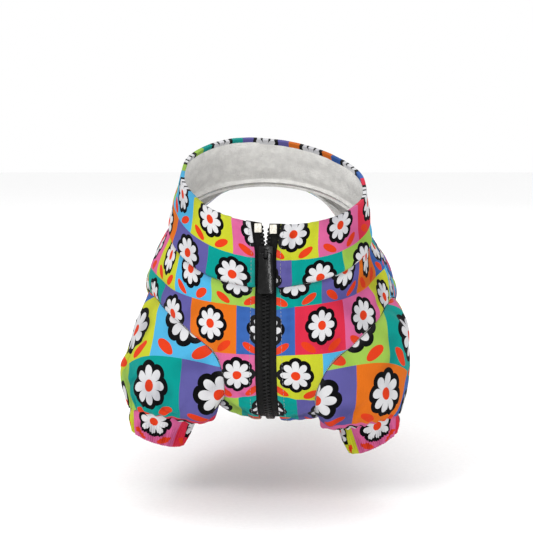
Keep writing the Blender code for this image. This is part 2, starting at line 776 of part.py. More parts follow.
def top_stop(name, side):
    """A small block over the teeth's end, seated on the tape."""
    offset = TEETH_WIDTH / 2 + TEETH_FLARE + STOP_OUT
    frame = end_frame(True, side, offset)
    low = (-STOP_WIDTH / 2, -STOP_LENGTH / 2, TEETH_TOP + GAP)
    high = (STOP_WIDTH / 2, STOP_LENGTH / 2, TEETH_TOP + GAP + STOP_HEIGHT)
    block(name, low, high, frame, CREAM, SATIN)


def zip_box(name):
    """The block at the hem that holds both sides' last teeth."""
    frame = end_frame(False, 1, 0)
    base = -(CLOTH + TAPE_SEAT) + GAP + TEETH_HEIGHT + GAP
    low = (-BOX_WIDTH / 2, -BOX_LENGTH / 2, base)
    high = (BOX_WIDTH / 2, BOX_LENGTH / 2, base + BOX_HEIGHT)
    block(name, low, high, frame)


def main():
    for obj in list(bpy.data.objects):
        bpy.data.objects.remove(obj)
    right_cutter = armhole_cutter("armhole_right", ARMHOLE_RIGHT)
    left_cutter = armhole_cutter("armhole_left", ARMHOLE_LEFT)
    front_panel("right_front_panel", -1, right_cutter)
    front_panel("left_front_panel", 1, left_cutter)
    back_panel("back_panel", [right_cutter, left_cutter])
    tree = body_tree()
    sleeve("right_sleeve", ARMHOLE_RIGHT, SLEEVE_RIGHT, tree)
    sleeve("left_sleeve", ARMHOLE_LEFT, SLEEVE_LEFT, tree)
    cuff("right_cuff", -1, SLEEVE_RIGHT[-1], CUFF_RIGHT)
    cuff("left_cuff", 1, SLEEVE_LEFT[-1], CUFF_LEFT)
    collar("collar")
    for side, word in ((-1, "right"), (1, "left")):
        tape = (GAP / 2, TAPE_WIDTH / 2, TAPE_WIDTH)
        zip_strip(f"zip_tape_{word}", side, tape, TAPE_SEAT, TAPE_WALL)
        teeth = (GAP / 2, TEETH_WIDTH)
        zip_strip(f"zip_teeth_{word}", side, teeth, TAPE_SEAT - GAP - TEETH_HEIGHT, TEETH_HEIGHT)
        top_stop(f"zip_top_stop_{word}", side)
    slider("zip_slider")
    pull("zip_pull")
    zip_box("zip_box")


main()
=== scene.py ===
"""The looks of a zip-front dog jacket: printed fleece, gathered cuffs, a stand-up collar, a black zip.

Metres, in the frame's axes: the chest towards -Y, the wearer's left towards +X, and the origin on top
of the back at the neckline.
"""

import functools
import math
from collections import namedtuple

import bmesh
import bpy
from mathutils import Matrix, Vector, noise
from mathutils.bvhtree import BVHTree
from mathutils.kdtree import KDTree


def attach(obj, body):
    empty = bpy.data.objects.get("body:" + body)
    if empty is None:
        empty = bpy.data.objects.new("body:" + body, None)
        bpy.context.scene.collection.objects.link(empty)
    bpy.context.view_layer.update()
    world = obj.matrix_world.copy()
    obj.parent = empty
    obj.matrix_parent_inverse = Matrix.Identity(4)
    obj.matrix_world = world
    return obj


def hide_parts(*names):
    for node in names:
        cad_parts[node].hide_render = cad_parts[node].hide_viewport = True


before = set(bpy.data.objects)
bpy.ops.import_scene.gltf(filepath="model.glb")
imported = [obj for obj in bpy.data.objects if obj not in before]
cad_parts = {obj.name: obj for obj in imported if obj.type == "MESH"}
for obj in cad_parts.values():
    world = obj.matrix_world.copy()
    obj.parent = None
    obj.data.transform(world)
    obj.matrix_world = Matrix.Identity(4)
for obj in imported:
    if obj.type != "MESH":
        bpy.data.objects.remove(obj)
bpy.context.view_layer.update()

# Body
BACK_LENGTH = 0.250
BELLY_LENGTH = 0.140
CHEST_REACH = 0.138
CHEST_DEPTH = 0.177
BODY_WIDTH = 0.201
BODY_LEAN = 0.0095
ZIP_SWAY = 0.0053

# Neckline and collar
NECK_WIDTH = 0.150
NECK_REACH = 0.113
NECK_DROP = 0.067
NECK_LEAN = 0.0076
NECK_SWAY = 0.0005
COLLAR_FRONT = 0.0475
COLLAR_BACK = 0.037
RIM_WIDTH = 0.141
RIM_SETBACK = 0.014
RIM_LEAN = 0.0065
RIM_ROLL = 0.0056
COLLAR_SWELL = 0.0030
SWELL_RISE = 0.10
COLLAR_SLUMP = 0.0022
SLUMP_RISE = 0.45
SLUMP_SPREAD = 0.20
SLUMP_WAVES = 3
SLUMP_UNEVEN = 0.4

# Cloth and gaps
CLOTH = 0.0022
COLLAR_WALL = 0.0028
GAP = 0.0003
SEWN_GAP = 0.00005
SIDE_SEAM_GAP = 0.0001
SOFT_EDGE = 0.3

# Armholes
ARMHOLE_DEEP = 0.120
ARMHOLE_RAKE = 0.030
ARMHOLE_BACK = -0.062
ARMHOLE_REACH_IN = 0.045

# Sleeves and cuffs
SLEEVE_SPREAD = 0.111
SLEEVE_DROP = 0.186
SLEEVE_DEPTH = 0.108
SLEEVE_BACK = -0.060
CUFF_TUCK = 0.003
DROOP_SHARPNESS = 1.5

# Zip, its width being the gap that shows between the panels
ZIP_WIDTH = 0.0158
ZIP_FLARE = 0.0034
ZIP_STIFF_TURN = 0.30
TAPE_WIDTH = 0.0125
TAPE_WALL = 0.0007
TAPE_SEAT = 0.0007
TAPE_RIPPLE = 0.00018
TAPE_BUNCH = 0.0007
TAPE_BUNCH_REACH = 0.020
TAPE_RIPPLE_PITCH = 0.0072
TEETH_FLARE = 0.0028
TOOTH_PITCH = 0.0029
TOOTH_REACH = 0.0034
TOOTH_LONG = 0.0017
TOOTH_HIGH = 0.0016
TOOTH_SEAT = 0.0010
SLIDER_DROP = 0.0215

# Sewing
SEAM_DIP = 0.0006
SEAM_SPREAD = 0.0026
NECK_SEAM_REACH = 0.006
SLEEVE_SEAM_REACH = 0.005
ZIP_EDGE_DIP = 0.0006
HEM_LINE_DIP = 0.0004
LINE_SPREAD = 0.0015
RIM_LINE_DIP = 0.0004
RIM_LINE_SPREAD = 0.002
STITCH_INSET = 0.0024
STITCH_PITCH = 0.0030
STITCH_LONG = 0.0022
STITCH_THICK = 0.00045
HEM_STITCHES = (0.0085, 0.0105)
HEM_DEPTH = 0.011
ZIP_TURN = 0.009
SEAM_TURN = 0.003
SLEEVE_TURN = 0.006
CUFF_TURN = 0.009
RIM_TURN = 0.004
# How far from the seams and edges the print fades, partly as painted seam shade
WEAR_AND_SEAM_SHADE_REACH = 0.003
SLEEVE_SEAM_SHARE = 0.62
SLEEVE_FRONT_SHARE = 0.60

# Folds; a dent or a crease is its depth, its size across and its seed
BODY_DENTS = ((0.0019, 0.045, 3.1), (0.0007, 0.016, 7.7))
SLEEVE_DENTS = ((0.0029, 0.030, 2.2), (0.0010, 0.012, 6.1))
COLLAR_DENTS = ((0.0014, 0.030, 8.4), (0.0005, 0.011, 1.9))
BODY_CREASE = (0.0008, 0.055, 5.2)
SLEEVE_CREASE = (0.0010, 0.040, 4.4)
CREASE_NARROW = 0.11
BODY_FLAT_EDGE = 0.014
COLLAR_FLAT_EDGE = 0.012
SLEEVE_FLAT_TOP = 0.016
SLEEVE_FLAT_FOOT = 0.006
PUCKER_PITCH = 0.0085
PUCKER_DEPTH = 0.00035
PUCKER_AT = 0.003
PUCKER_REACH = 0.012
ARMHOLE_FOLD = 0.0009
ARMHOLE_FOLDS = 11
ARMHOLE_FOLD_AT = 0.013
ARMHOLE_FOLD_REACH = 0.012
ZIP_FOLD = 0.0006
ZIP_FOLD_ON_BODY = 0.6
ZIP_FOLD_START = 0.010
ZIP_FOLD_PITCH = 0.0095
ZIP_FOLD_REACH = 0.026
SLEEVE_GATHER = 0.0008
SLEEVE_GATHERS = 22
SLEEVE_GATHER_AT = 0.002
SLEEVE_GATHER_REACH = 0.013
CUFF_RIB = 0.00060
CUFF_RIBS = 74
CUFF_PLEAT = 0.0009
CUFF_PLEATS = 15
CUFF_SWELL = 0.0010
CUFF_RIB_DROP = 0.0003
CUFF_PLEAT_DROP = 0.0007
# The fold depth at which the painted fold shade is darkest
FOLD_SHADE_DEPTH = 0.0016

Section = namedtuple(
    "Section",
    "top_back top_rise low_front low_back low_drop half lean sway full_top full_left full_right",
)
BODY_SECTIONS = [
    Section(0.08, 0.015, 0.942, 0.00, 0.525, 0.800, 0.40, 0.10, 1.74, 2.05, 2.00),
    Section(0.18, 0.024, 1.000, 0.00, 0.678, 0.878, 0.55, 0.10, 1.58, 2.10, 1.95),
    Section(0.28, 0.026, 0.949, 0.00, 0.831, 0.940, 0.70, 0.28, 1.46, 2.35, 1.88),
    Section(0.39, 0.018, 0.797, 0.00, 0.935, 0.985, 1.00, 0.60, 1.47, 2.60, 1.84),
    Section(0.52, 0.004, 0.507, 0.00, 0.986, 0.952, 0.80, 1.00, 1.60, 2.55, 1.90),
    Section(0.66, -0.023, 0.110, 0.00, 1.000, 0.901, 0.45, 0.90, 2.00, 2.35, 2.10),
    Section(0.82, -0.062, 0.000, 0.43, 0.966, 0.837, 0.18, 0.60, 2.10, 2.25, 2.20),
    Section(1.00, -0.113, 0.000, 1.00, 0.893, 0.783, 0.09, 0.30, 2.15, 2.20, 2.20),
]
NECK_FULLNESS = 2.0
SIDE_SEAM_AT_NECK = 0.58
SIDE_SEAM_AT_HEM = 0.50

Fold = namedtuple("Fold", "place turn_deg slant_deg reach wide_deg depth")
BODY_FOLDS = [
    Fold(0.16, 62, 260, 0.12, 7, 0.0020),
    Fold(0.16, -58, -240, 0.12, 7, 0.0022),
    Fold(0.42, 24, -160, 0.10, 6, 0.0014),
    Fold(0.40, -27, 150, 0.10, 6, 0.0014),
    Fold(0.62, 78, 90, 0.14, 8, 0.0022),
    Fold(0.60, -74, -110, 0.14, 8, 0.0022),
    Fold(0.72, 150, -200, 0.12, 8, 0.0018),
    Fold(0.30, 172, 60, 0.10, 9, 0.0016),
]

Ring = namedtuple("Ring", "outer_x outer_z inner_x inner_z deep rake droop lift")
SLEEVE_RIGHT = [
    Ring(0.908, 0.560, 0.350, 0.905, 1.02, 0.85, 0.098, 0.000),
    Ring(0.982, 0.693, 0.376, 0.925, 0.96, 0.60, 0.068, 0.000),
    Ring(1.001, 0.752, 0.399, 0.938, 0.90, 0.40, 0.044, 0.004),
    Ring(0.983, 0.816, 0.418, 0.945, 0.82, 0.20, 0.024, 0.012),
    Ring(0.951, 0.893, 0.430, 0.948, 0.68, 0.05, 0.008, 0.022),
]
SLEEVE_LEFT = [
    Ring(1.004, 0.545, 0.390, 0.942, 1.04, 0.85, 0.112, 0.000),
    Ring(1.002, 0.659, 0.412, 0.955, 0.98, 0.60, 0.078, 0.000),
    Ring(1.000, 0.744, 0.436, 0.967, 0.92, 0.40, 0.044, 0.004),
    Ring(0.983, 0.829, 0.462, 0.977, 0.82, 0.20, 0.024, 0.012),
    Ring(0.941, 0.918, 0.482, 0.985, 0.68, 0.05, 0.008, 0.022),
]
CUFF_RIGHT = [
    Ring(0.942, 0.940, 0.500, 0.980, 0.58, 0.00, 0.000, 0.012),
    Ring(0.925, 0.995, 0.568, 1.060, 0.44, 0.00, 0.000, 0.000),
]
CUFF_LEFT = [
    Ring(0.935, 0.952, 0.530, 1.020, 0.58, 0.00, 0.000, 0.012),
    Ring(0.918, 1.000, 0.588, 1.093, 0.44, 0.00, 0.000, 0.000),
]

Armhole = namedtuple("Armhole", "side long_size centre_x centre_z lean_deg")
ARMHOLE_RIGHT = Armhole(-1, 0.094, 0.622, 0.668, 37.2)
ARMHOLE_LEFT = Armhole(1, 0.101, 0.702, 0.712, 38.2)

# Mesh density
BODY_ROWS = 176
PANEL_COLUMNS = 84
BACK_COLUMNS = 64
SLEEVE_ROWS = 56
SLEEVE_SIDES = 192
CUFF_ROWS = 34
CUFF_SIDES = 420
COLLAR_ROWS = 40
COLLAR_COLUMNS = 150
WALK_STEPS = 200

# Print
BLOCK_WIDE = 0.043
BLOCK_HIGH = 0.036
SLEEVE_PRINT = 1.42
SLEEVE_PRINT_LEAN_DEG = 16
FRONT_PRINT_RISE = 0.011
BACK_PRINT_RISE = 0.020
COLLAR_PRINT_RISE = 0.028
UNWRAP_ROUNDS = 6
COLLAR_PRINT = 0.95
GRAIN_REACH = 0.065
GRAIN_DROP = 0.125
GRAIN_FADE = 0.055
PRINT_INKS = (
    (0, 160, 150), (226, 105, 160), (100, 95, 165), (206, 212, 50), (235, 118, 28),
    (84, 186, 232), (60, 104, 180), (165, 206, 84), (226, 48, 76),
)
INK_BLACK = (6, 6, 9)
INK_WHITE = (232, 232, 234)
INK_ACCENT = (236, 66, 28)
INK_STRENGTH = 0.68
FLOWER_RISE = 0.0020
PETALS = 8
BLACK_PETALS = (0.0122, 0.0140, 0.7)
WHITE_PETALS = (0.0044, 0.0112, 0.45)
HEART = 0.0034
LEAF_PLACE = (0.0112, -0.0128)
LEAF_SIZE = (0.0066, 0.0028)
LEAF_TURN_DEG = 32
TURNED_IN = 2


def ink(colour):
    """A 0 to 255 screen colour as a dye, dark enough for the studio's light."""
    values = []
    for value in colour:
        share = value / 255
        linear = share / 12.92 if share <= 0.04045 else ((share + 0.055) / 1.055) ** 2.4
        values.append(INK_STRENGTH * linear)
    return (*values, 1.0)


# The forms that the CAD has too

def blend(rows, place):
    """The rows' values at place, from 0 at the first row to 1 at the last, on a smooth curve."""
    last = len(rows) - 1
    at = min(max(place, 0.0), 1.0) * last
    i = min(int(at), last - 1)
    t = at - i
    near = (rows[max(i - 1, 0)], rows[i], rows[i + 1], rows[min(i + 2, last)])
    values = []
    for a, b, c, d in zip(*near):
        slope = (c - a) * t
        bow = (2 * a - 5 * b + 4 * c - d) * t**2
        twist = (3 * b - a - 3 * c + d) * t**3
        values.append(b + 0.5 * (slope + bow + twist))
    return values


def eased(value):
    """From 0 to 1 with level ends."""
    value = min(max(value, 0.0), 1.0)
    return value * value * (3 - 2 * value)


def hump(distance, width):
    """1 in the middle, fading to nothing past the width."""
    return math.exp(-((distance / width) ** 2))


def power(value, exponent):
    return math.copysign(abs(value) ** exponent, value)


def body_rows():
    """Sizes of each body section in metres, the neckline first."""
    neck = [0.0, 0.0, -NECK_REACH, -NECK_DROP, NECK_WIDTH / 2, NECK_LEAN, NECK_SWAY]
    rows = [neck + [NECK_FULLNESS] * 3]
    for s in BODY_SECTIONS:
        rows.append([
            s.top_back * BACK_LENGTH,
            s.top_rise * CHEST_DEPTH,
            s.low_back * BELLY_LENGTH - s.low_front * CHEST_REACH,
            -s.low_drop * CHEST_DEPTH,
            s.half * BODY_WIDTH / 2,
            s.lean * BODY_LEAN,
            s.sway * ZIP_SWAY,
            s.full_top,
            s.full_left,
            s.full_right,
        ])
    return rows


BODY = body_rows()


@functools.lru_cache(maxsize=None)
def section(place):
    return blend(BODY, place)


def fold_depth(place, angle):
    """How far the folds press the body in at this point."""
    turn = math.degrees(angle)
    if turn > 180:
        turn -= 360
    depth = 0.0
    for fold in BODY_FOLDS:
        off_place = place - fold.place
        off_turn = turn - fold.turn_deg - fold.slant_deg * off_place
        off_turn = (off_turn + 180) % 360 - 180
        depth += fold.depth * hump(off_place, fold.reach) * hump(off_turn, fold.wide_deg)
    return depth


def body_point(place, angle):
    """The body at a place from the neckline to the hem. Angle 0 is on the zip, 90 degrees at left."""
    top_y, top_z, low_y, low_z, half, lean, sway, full_top, full_left, full_right = section(place)
    down = math.cos(angle)
    across = math.sin(angle)
    full_low = full_left if across > 0 else full_right
    full = full_top + (full_low - full_top) * eased((down + 1) / 2)
    down = power(down, 2 / full)
    across = power(across, 2 / full)
    middle = Vector((0, (top_y + low_y) / 2, (top_z + low_z) / 2))
    reach = Vector((0, (low_y - top_y) / 2, (low_z - top_z) / 2))
    offset = reach * down
    offset.x = half * across
    point = middle + offset * (1 - fold_depth(place, angle) / offset.length)
    point.x += lean * abs(across) * eased((down + 1) / 2) + sway * (1 - abs(across))
    return point


def collar_point(rise, angle):
    """The collar, from the neckline at rise 0 to the rim at rise 1."""
    base = body_point(0.0, angle)
    down = math.cos(angle)
    across = math.sin(angle)
    front = Vector((0, -NECK_REACH, COLLAR_FRONT - NECK_DROP))
    back = Vector((0, -RIM_SETBACK, COLLAR_BACK))
    rim = (front + back) / 2 + (front - back) / 2 * down
    rim.x = RIM_WIDTH / 2 * across + RIM_LEAN * abs(across) + NECK_SWAY * (1 - abs(across))
    rim.z -= RIM_ROLL * across
    point = base.lerp(rim, rise)
    outward = (base - Vector((NECK_LEAN, -NECK_REACH / 2, -NECK_DROP / 2))).normalized()
    turn = min(abs(angle), 2 * math.pi - abs(angle))
    swell = COLLAR_SWELL * rise / SWELL_RISE * math.exp(1 - rise / SWELL_RISE)
    evenness = 1 - SLUMP_UNEVEN + SLUMP_UNEVEN * math.cos(SLUMP_WAVES * angle)
    slump = COLLAR_SLUMP * hump(rise - SLUMP_RISE, SLUMP_SPREAD) * evenness
    return point + outward * (swell + slump) * (1 - hump(turn, ZIP_STIFF_TURN))


class Walk:
    """The way down one half of a ring, from the zip to the back."""

    def __init__(self, point_at, side):
        self.points = [point_at(side * math.pi * i / WALK_STEPS) for i in range(WALK_STEPS + 1)]
        self.lengths = [0.0]
        for a, b in zip(self.points, self.points[1:]):
            self.lengths.append(self.lengths[-1] + (b - a).length)
        self.girth = self.lengths[-1]

    def spread(self, distances):
        """The points at these distances, which rise from one to the next."""
        found = []
        i = 0
        for distance in distances:
            while i < WALK_STEPS - 1 and self.lengths[i + 1] < distance:
                i += 1
            share = (distance - self.lengths[i]) / (self.lengths[i + 1] - self.lengths[i])
            found.append(self.points[i].lerp(self.points[i + 1], min(max(share, 0.0), 1.0)))
        return found


@functools.lru_cache(maxsize=None)
def body_walk(row, side):
    return Walk(lambda angle: body_point(row / BODY_ROWS, angle), side)


@functools.lru_cache(maxsize=None)
def collar_walk(row, side):
    return Walk(lambda angle: collar_point(row / COLLAR_ROWS, angle), side)


def side_seam(place, girth):
    return girth * (SIDE_SEAM_AT_NECK + (SIDE_SEAM_AT_HEM - SIDE_SEAM_AT_NECK) * place)


def steps(start, end, count):
    return [start + (end - start) * i / count for i in range(count + 1)]


def round_the_back(walks, starts, count):
    """One row from the right half's start, over the back, to the left half's start."""
    right, left = (walk.spread(steps(start, walk.girth, count)) for walk, start in zip(walks, starts))
    return right + left[-2::-1]


def armhole_frame(armhole):
    lean = math.radians(armhole.lean_deg)
    centre = Vector((
        armhole.side * armhole.centre_x * SLEEVE_SPREAD,
        ARMHOLE_BACK,
        -armhole.centre_z * SLEEVE_DROP,
    ))
    long_axis = Vector((armhole.side * math.sin(lean), 0, math.cos(lean)))
    facing = Vector((armhole.side * math.cos(lean), 0, -math.sin(lean)))
    return centre, long_axis, facing


def armhole_loop(armhole, count, shrink=0.0):
    centre, long_axis, facing = armhole_frame(armhole)
    long_half = armhole.long_size / 2 - shrink
    deep_half = ARMHOLE_DEEP / 2 - shrink
    loop = []
    for i in range(count):
        angle = 2 * math.pi * i / count
        forward = deep_half * math.sin(angle) - ARMHOLE_RAKE * math.cos(angle)
        loop.append(centre + long_axis * long_half * math.cos(angle) + Vector((0, -forward, 0)))
    return loop, facing


def armhole_side(point, armhole):
    """Below 0 inside the armhole, 0 on its edge and above 0 outside."""
    centre, long_axis, facing = armhole_frame(armhole)
    offset = point - centre
    if offset.dot(facing) < -ARMHOLE_REACH_IN:
        return 1.0
    along = offset.dot(long_axis) / (armhole.long_size / 2)
    forward = (-offset.y + ARMHOLE_RAKE * along) / (ARMHOLE_DEEP / 2)
    return along**2 + forward**2 - 1


def body_tree():
    """The body's outer surface, to find where the sleeves leave it."""
    rows = []
    for r in range(0, BODY_ROWS + 1, 2):
        right, left = (body_walk(r, side).points[::2] for side in (-1, 1))
        rows.append(right + left[-2:0:-1])
    points = [p for row in rows for p in row]
    wide = len(rows[0])
    faces = []
    for r in range(len(rows) - 1):
        for c in range(wide):
            d = (c + 1) % wide
            faces.append((r * wide + c, r * wide + d, (r + 1) * wide + d, (r + 1) * wide + c))
    return BVHTree.FromPolygons(points, faces)


def ring_points(ring, side, count, tuck=0.0):
    outer = Vector((side * ring.outer_x * SLEEVE_SPREAD, SLEEVE_BACK, -ring.outer_z * SLEEVE_DROP))
    inner = Vector((side * ring.inner_x * SLEEVE_SPREAD, SLEEVE_BACK, -ring.inner_z * SLEEVE_DROP))
    long_axis = (outer - inner) / 2
    long_axis -= long_axis.normalized() * tuck
    deep = ring.deep * SLEEVE_DEPTH / 2 - tuck
    rake = ring.rake * ARMHOLE_RAKE
    points = []
    for i in range(count):
        angle = 2 * math.pi * i / count
        forward = deep * math.sin(angle) - rake * math.cos(angle)
        droop = ring.droop * max(-math.sin(angle), 0.0) ** DROOP_SHARPNESS
        lift = ring.lift * max(math.sin(angle), 0.0) ** DROOP_SHARPNESS
        middle = (outer + inner) / 2 + Vector((0, -forward, (lift - droop) * SLEEVE_DROP))
        points.append(middle + long_axis * math.cos(angle))
    return points


def loft(rings, count):
    """Rows of points on smooth curves through the rings."""
    flat = [[value for point in ring for value in point] for ring in rings]
    rows = []
    for r in range(count + 1):
        values = blend(flat, r / count)
        rows.append([Vector(values[i : i + 3]) for i in range(0, len(values), 3)])
    return rows


# Cloth

def distances(rows, origin_column):
    """How far each point is along its row, from the origin column, and down its column."""
    wide = len(rows[0])
    along = []
    for row in rows:
        reach = [0.0] * wide
        for c in range(origin_column + 1, wide):
            reach[c] = reach[c - 1] + (row[c] - row[c - 1]).length
        for c in range(origin_column - 1, -1, -1):
            reach[c] = reach[c + 1] - (row[c] - row[c + 1]).length
        along.append(reach)
    down = [[0.0] * wide]
    for above, row in zip(rows, rows[1:]):
        down.append([d + (b - a).length for d, a, b in zip(down[-1], above, row)])
    return along, down


def outward_normals(rows, inside, closed=False):
    """The way that the cloth faces at each point, away from the inside point."""
    high = len(rows)
    wide = len(rows[0])
    normals = []
    total = 0.0
    for r in range(high):
        line = []
        for c in range(wide):
            if closed:
                left, right = rows[r][(c - 1) % (wide - 1)], rows[r][(c + 1) % (wide - 1)]
            else:
                left, right = rows[r][max(c - 1, 0)], rows[r][min(c + 1, wide - 1)]
            below = rows[min(r + 1, high - 1)][c] - rows[max(r - 1, 0)][c]
            normal = (right - left).cross(below).normalized()
            total += normal.dot(rows[r][c] - inside)
            line.append(normal)
        normals.append(line)
    sign = 1 if total > 0 else -1
    return [[normal * sign for normal in line] for line in normals]


def crumple(point, size, seed):
    """A soft uneven swell and dent, from -1 to 1, of about this size across."""
    return noise.noise(point / size + Vector((seed, seed * 0.7, -seed)))


def crease(point, size, seed):
    """A narrow soft valley along a wandering line, from 0 to 1, that comes and goes."""
    line = eased(1 - abs(crumple(point, size, seed)) / CREASE_NARROW)
    return line * eased(2.5 * crumple(point, size * 1.3, seed + 5.0) + 0.4)


def dented(point, dents, creased=None):
    """The soft dents and creases of worn cloth, in metres."""
    swell = sum(depth * crumple(point, size, seed) for depth, size, seed in dents)
    if creased:
        depth, size, seed = creased
        swell -= depth * crease(point, size, seed)
    return swell


def dip(distance):
    """How far a seam pulls the cloth in."""
    return SEAM_DIP * hump(distance, SEAM_SPREAD)


def hem_line(from_hem):
    """The slight groove where the turned-in hem ends."""
    return HEM_LINE_DIP * hump(from_hem - HEM_DEPTH, LINE_SPREAD)


# How one point of the cloth moves, how deep in a fold it lies (which sets the painted fold shade), how worn
# it is (partly painted seam shade), and if it is turned in
Spot = namedtuple("Spot", "move depth wear turned")


def shaped(rows, spot_at):
    """Moves each point of the rows as its spot says, and gives the spots."""
    spots = []
    for r, row in enumerate(rows):
        line = [spot_at(r, c, point) for c, point in enumerate(row)]
        rows[r] = [point + spot.move for point, spot in zip(row, line)]
        spots.append(line)
    return spots


def laid(rows, spots, closed=False, flat=None):
    """A sheet of cloth through the rows."""
    high = len(rows) - 1
    wide = len(rows[0]) - 1
    bm = bmesh.new()
    bmesh.ops.create_grid(bm, x_segments=wide, y_segments=high, size=0.5)
    cloth = bm.loops.layers.uv.new("cloth")
    # Near seams and edges: print rubbed thin, partly painted seam shade
    worn = bm.verts.layers.float.new("wear")
    # Painted shade: how deep each point lies in a fold, crease, pucker or seam groove, to darken its colour
    # there
    fold_shade_layer = bm.verts.layers.float.new("fold")
    places = {}
    for vert in bm.verts:
        places[vert] = (round((0.5 - vert.co.y) * high), round((vert.co.x + 0.5) * wide))
    for face in bm.faces:
        corners = [places[vert] for vert in face.verts]
        if all(spots[r][c].turned for r, c in corners):
            face.material_index = TURNED_IN
        if flat:
            for loop in face.loops:
                r, c = places[loop.vert]
                loop[cloth].uv = flat[r][c]
    for edge in bm.edges:
        edge.seam = all(places[vert][1] in (0, wide) for vert in edge.verts)
    for vert, (r, c) in places.items():
        vert.co = rows[r][c]
        vert[worn] = spots[r][c].wear
        vert[fold_shade_layer] = min(max(spots[r][c].depth / FOLD_SHADE_DEPTH, 0.0), 1.0)
    if closed:
        bmesh.ops.remove_doubles(bm, verts=bm.verts, dist=0.00001)
    return bm


def face_out(bm, inside):
    bm.normal_update()
    if sum(f.normal.dot(f.calc_center_median() - inside) for f in bm.faces) < 0:
        bmesh.ops.reverse_faces(bm, faces=bm.faces)
        bm.normal_update()


def cut_armhole(bm, armhole):
    """Cuts the cloth along the armhole's edge and drops what is inside it."""
    value = {vert: armhole_side(vert.co, armhole) for vert in bm.verts}
    crossing = [e for e in bm.edges if value[e.verts[0]] * value[e.verts[1]] < 0]
    for edge in crossing:
        a, b = edge.verts
        share = value[a] / (value[a] - value[b])
        _, made = bmesh.utils.edge_split(edge, a, share)
        value[made] = 0.0
    for face in list(bm.faces):
        cut = [vert for vert in face.verts if value[vert] == 0.0]
        if len(cut) == 2 and not any(edge.other_vert(cut[0]) is cut[1] for edge in cut[0].link_edges):
            bmesh.utils.face_split(face, cut[0], cut[1])
    lost = [f for f in bm.faces if sum(value[vert] for vert in f.verts) < 0]
    bmesh.ops.delete(bm, geom=lost, context="FACES")
    bmesh.ops.dissolve_degenerate(bm, edges=bm.edges, dist=0.0002)


def add_piece(name, bm, materials, sharp_deg=None):
    mesh = bpy.data.meshes.new(name)
    bm.to_mesh(mesh)
    bm.free()
    mesh.shade_smooth()
    if sharp_deg is not None:
        mesh.set_sharp_from_angle(angle=math.radians(sharp_deg))
    for material in materials:
        mesh.materials.append(material)
    piece = bpy.data.objects.new(name, mesh)
    bpy.context.scene.collection.objects.link(piece)
    return piece


def sewn_piece(name, node, rows, spot_at, inside, outside, wall=CLOTH, flat=None, closed=False, armholes=()):
    """A cloth piece through the rows, with its thickness and soft edges, which stands for a CAD node."""
    spots = shaped(rows, spot_at)
    if closed:
        for row in rows:
            row[-1] = row[0].copy()
    bm = laid(rows, spots, closed, flat)
    for armhole in armholes:
        cut_armhole(bm, armhole)
    face_out(bm, inside)
    piece = add_piece(name, bm, (outside, LINING, outside, outside))
    skin = piece.modifiers.new("Thickness", "SOLIDIFY")
    skin.thickness = wall
    skin.offset = -1
    skin.use_even_offset = False
    skin.material_offset = 1
    skin.material_offset_rim = 1
    edges = piece.modifiers.new("Edges", "BEVEL")
    edges.width = wall * SOFT_EDGE
    edges.segments = 2
    edges.limit_method = "ANGLE"
    edges.angle_limit = math.radians(60)
    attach(piece, "jacket")
    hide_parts(node)
    return piece


def cut_flat(piece, top, foot, at, lean_deg=0.0, grain=None):
    """Spreads the piece out flat for its print, which stands upright from foot to top.

    The foot lies at a given place. The grain says how far the print keeps to the zip instead.
    """
    mesh = piece.data
    before = [corner.uv.copy() for corner in mesh.uv_layers["cloth"].data]
    bpy.context.view_layer.objects.active = piece
    piece.select_set(True)
    bpy.ops.object.mode_set(mode="EDIT")
    bpy.ops.mesh.select_all(action="SELECT")
    bpy.ops.uv.unwrap(
        method="MINIMUM_STRETCH", fill_holes=False, correct_aspect=False, margin=0, iterations=UNWRAP_ROUNDS
    )
    bpy.ops.object.mode_set(mode="OBJECT")
    piece.select_set(False)
    corners = mesh.uv_layers["cloth"].data
    places = {}
    for loop in mesh.loops:
        places.setdefault(loop.vertex_index, corners[loop.index].uv.copy())
    tree = KDTree(len(mesh.vertices))
    for vert in mesh.vertices:
        tree.insert(vert.co, vert.index)
    tree.balance()
    first = places[tree.find(top)[1]]
    last = places[tree.find(foot)[1]]
    mesh.calc_loop_triangles()
    flat_area = 0.0
    real_area = 0.0
    for triangle in mesh.loop_triangles:
        a, b, c = (corners[i].uv for i in triangle.loops)
        flat_area += abs((b - a).cross(c - a)) / 2
        real_area += triangle.area
    size = math.sqrt(real_area / flat_area)
    line = last - first
    turn = math.radians(lean_deg - 90) - math.atan2(line.y, line.x)
    for corner in corners:
        offset = (corner.uv - last) * size
        offset.rotate(Matrix.Rotation(turn, 2))
        corner.uv = offset + Vector(at)
    if grain:
        for corner, start in zip(corners, before):
            corner.uv.x += (start.x - corner.uv.x) * grain(start)


# Materials

class Value:
    """A number that a material works out at each point, so that its sums read as sums."""

    def __init__(self, shader, socket):
        self.shader = shader
        self.socket = socket

    def by(self, operation, *others):
        made = self.shader.node("ShaderNodeMath", operation=operation)
        for socket, value in zip(made.inputs, (self, *others)):
            self.shader.feed(socket, value)
        return Value(self.shader, made.outputs[0])

    def __add__(self, other):
        return self.by("ADD", other)

    def __sub__(self, other):
        return self.by("SUBTRACT", other)

    def __mul__(self, other):
        return self.by("MULTIPLY", other)

    def __truediv__(self, other):
        return self.by("DIVIDE", other)

    def __mod__(self, other):
        return self.by("FLOORED_MODULO", other)

    def __lt__(self, other):
        return self.by("LESS_THAN", other)


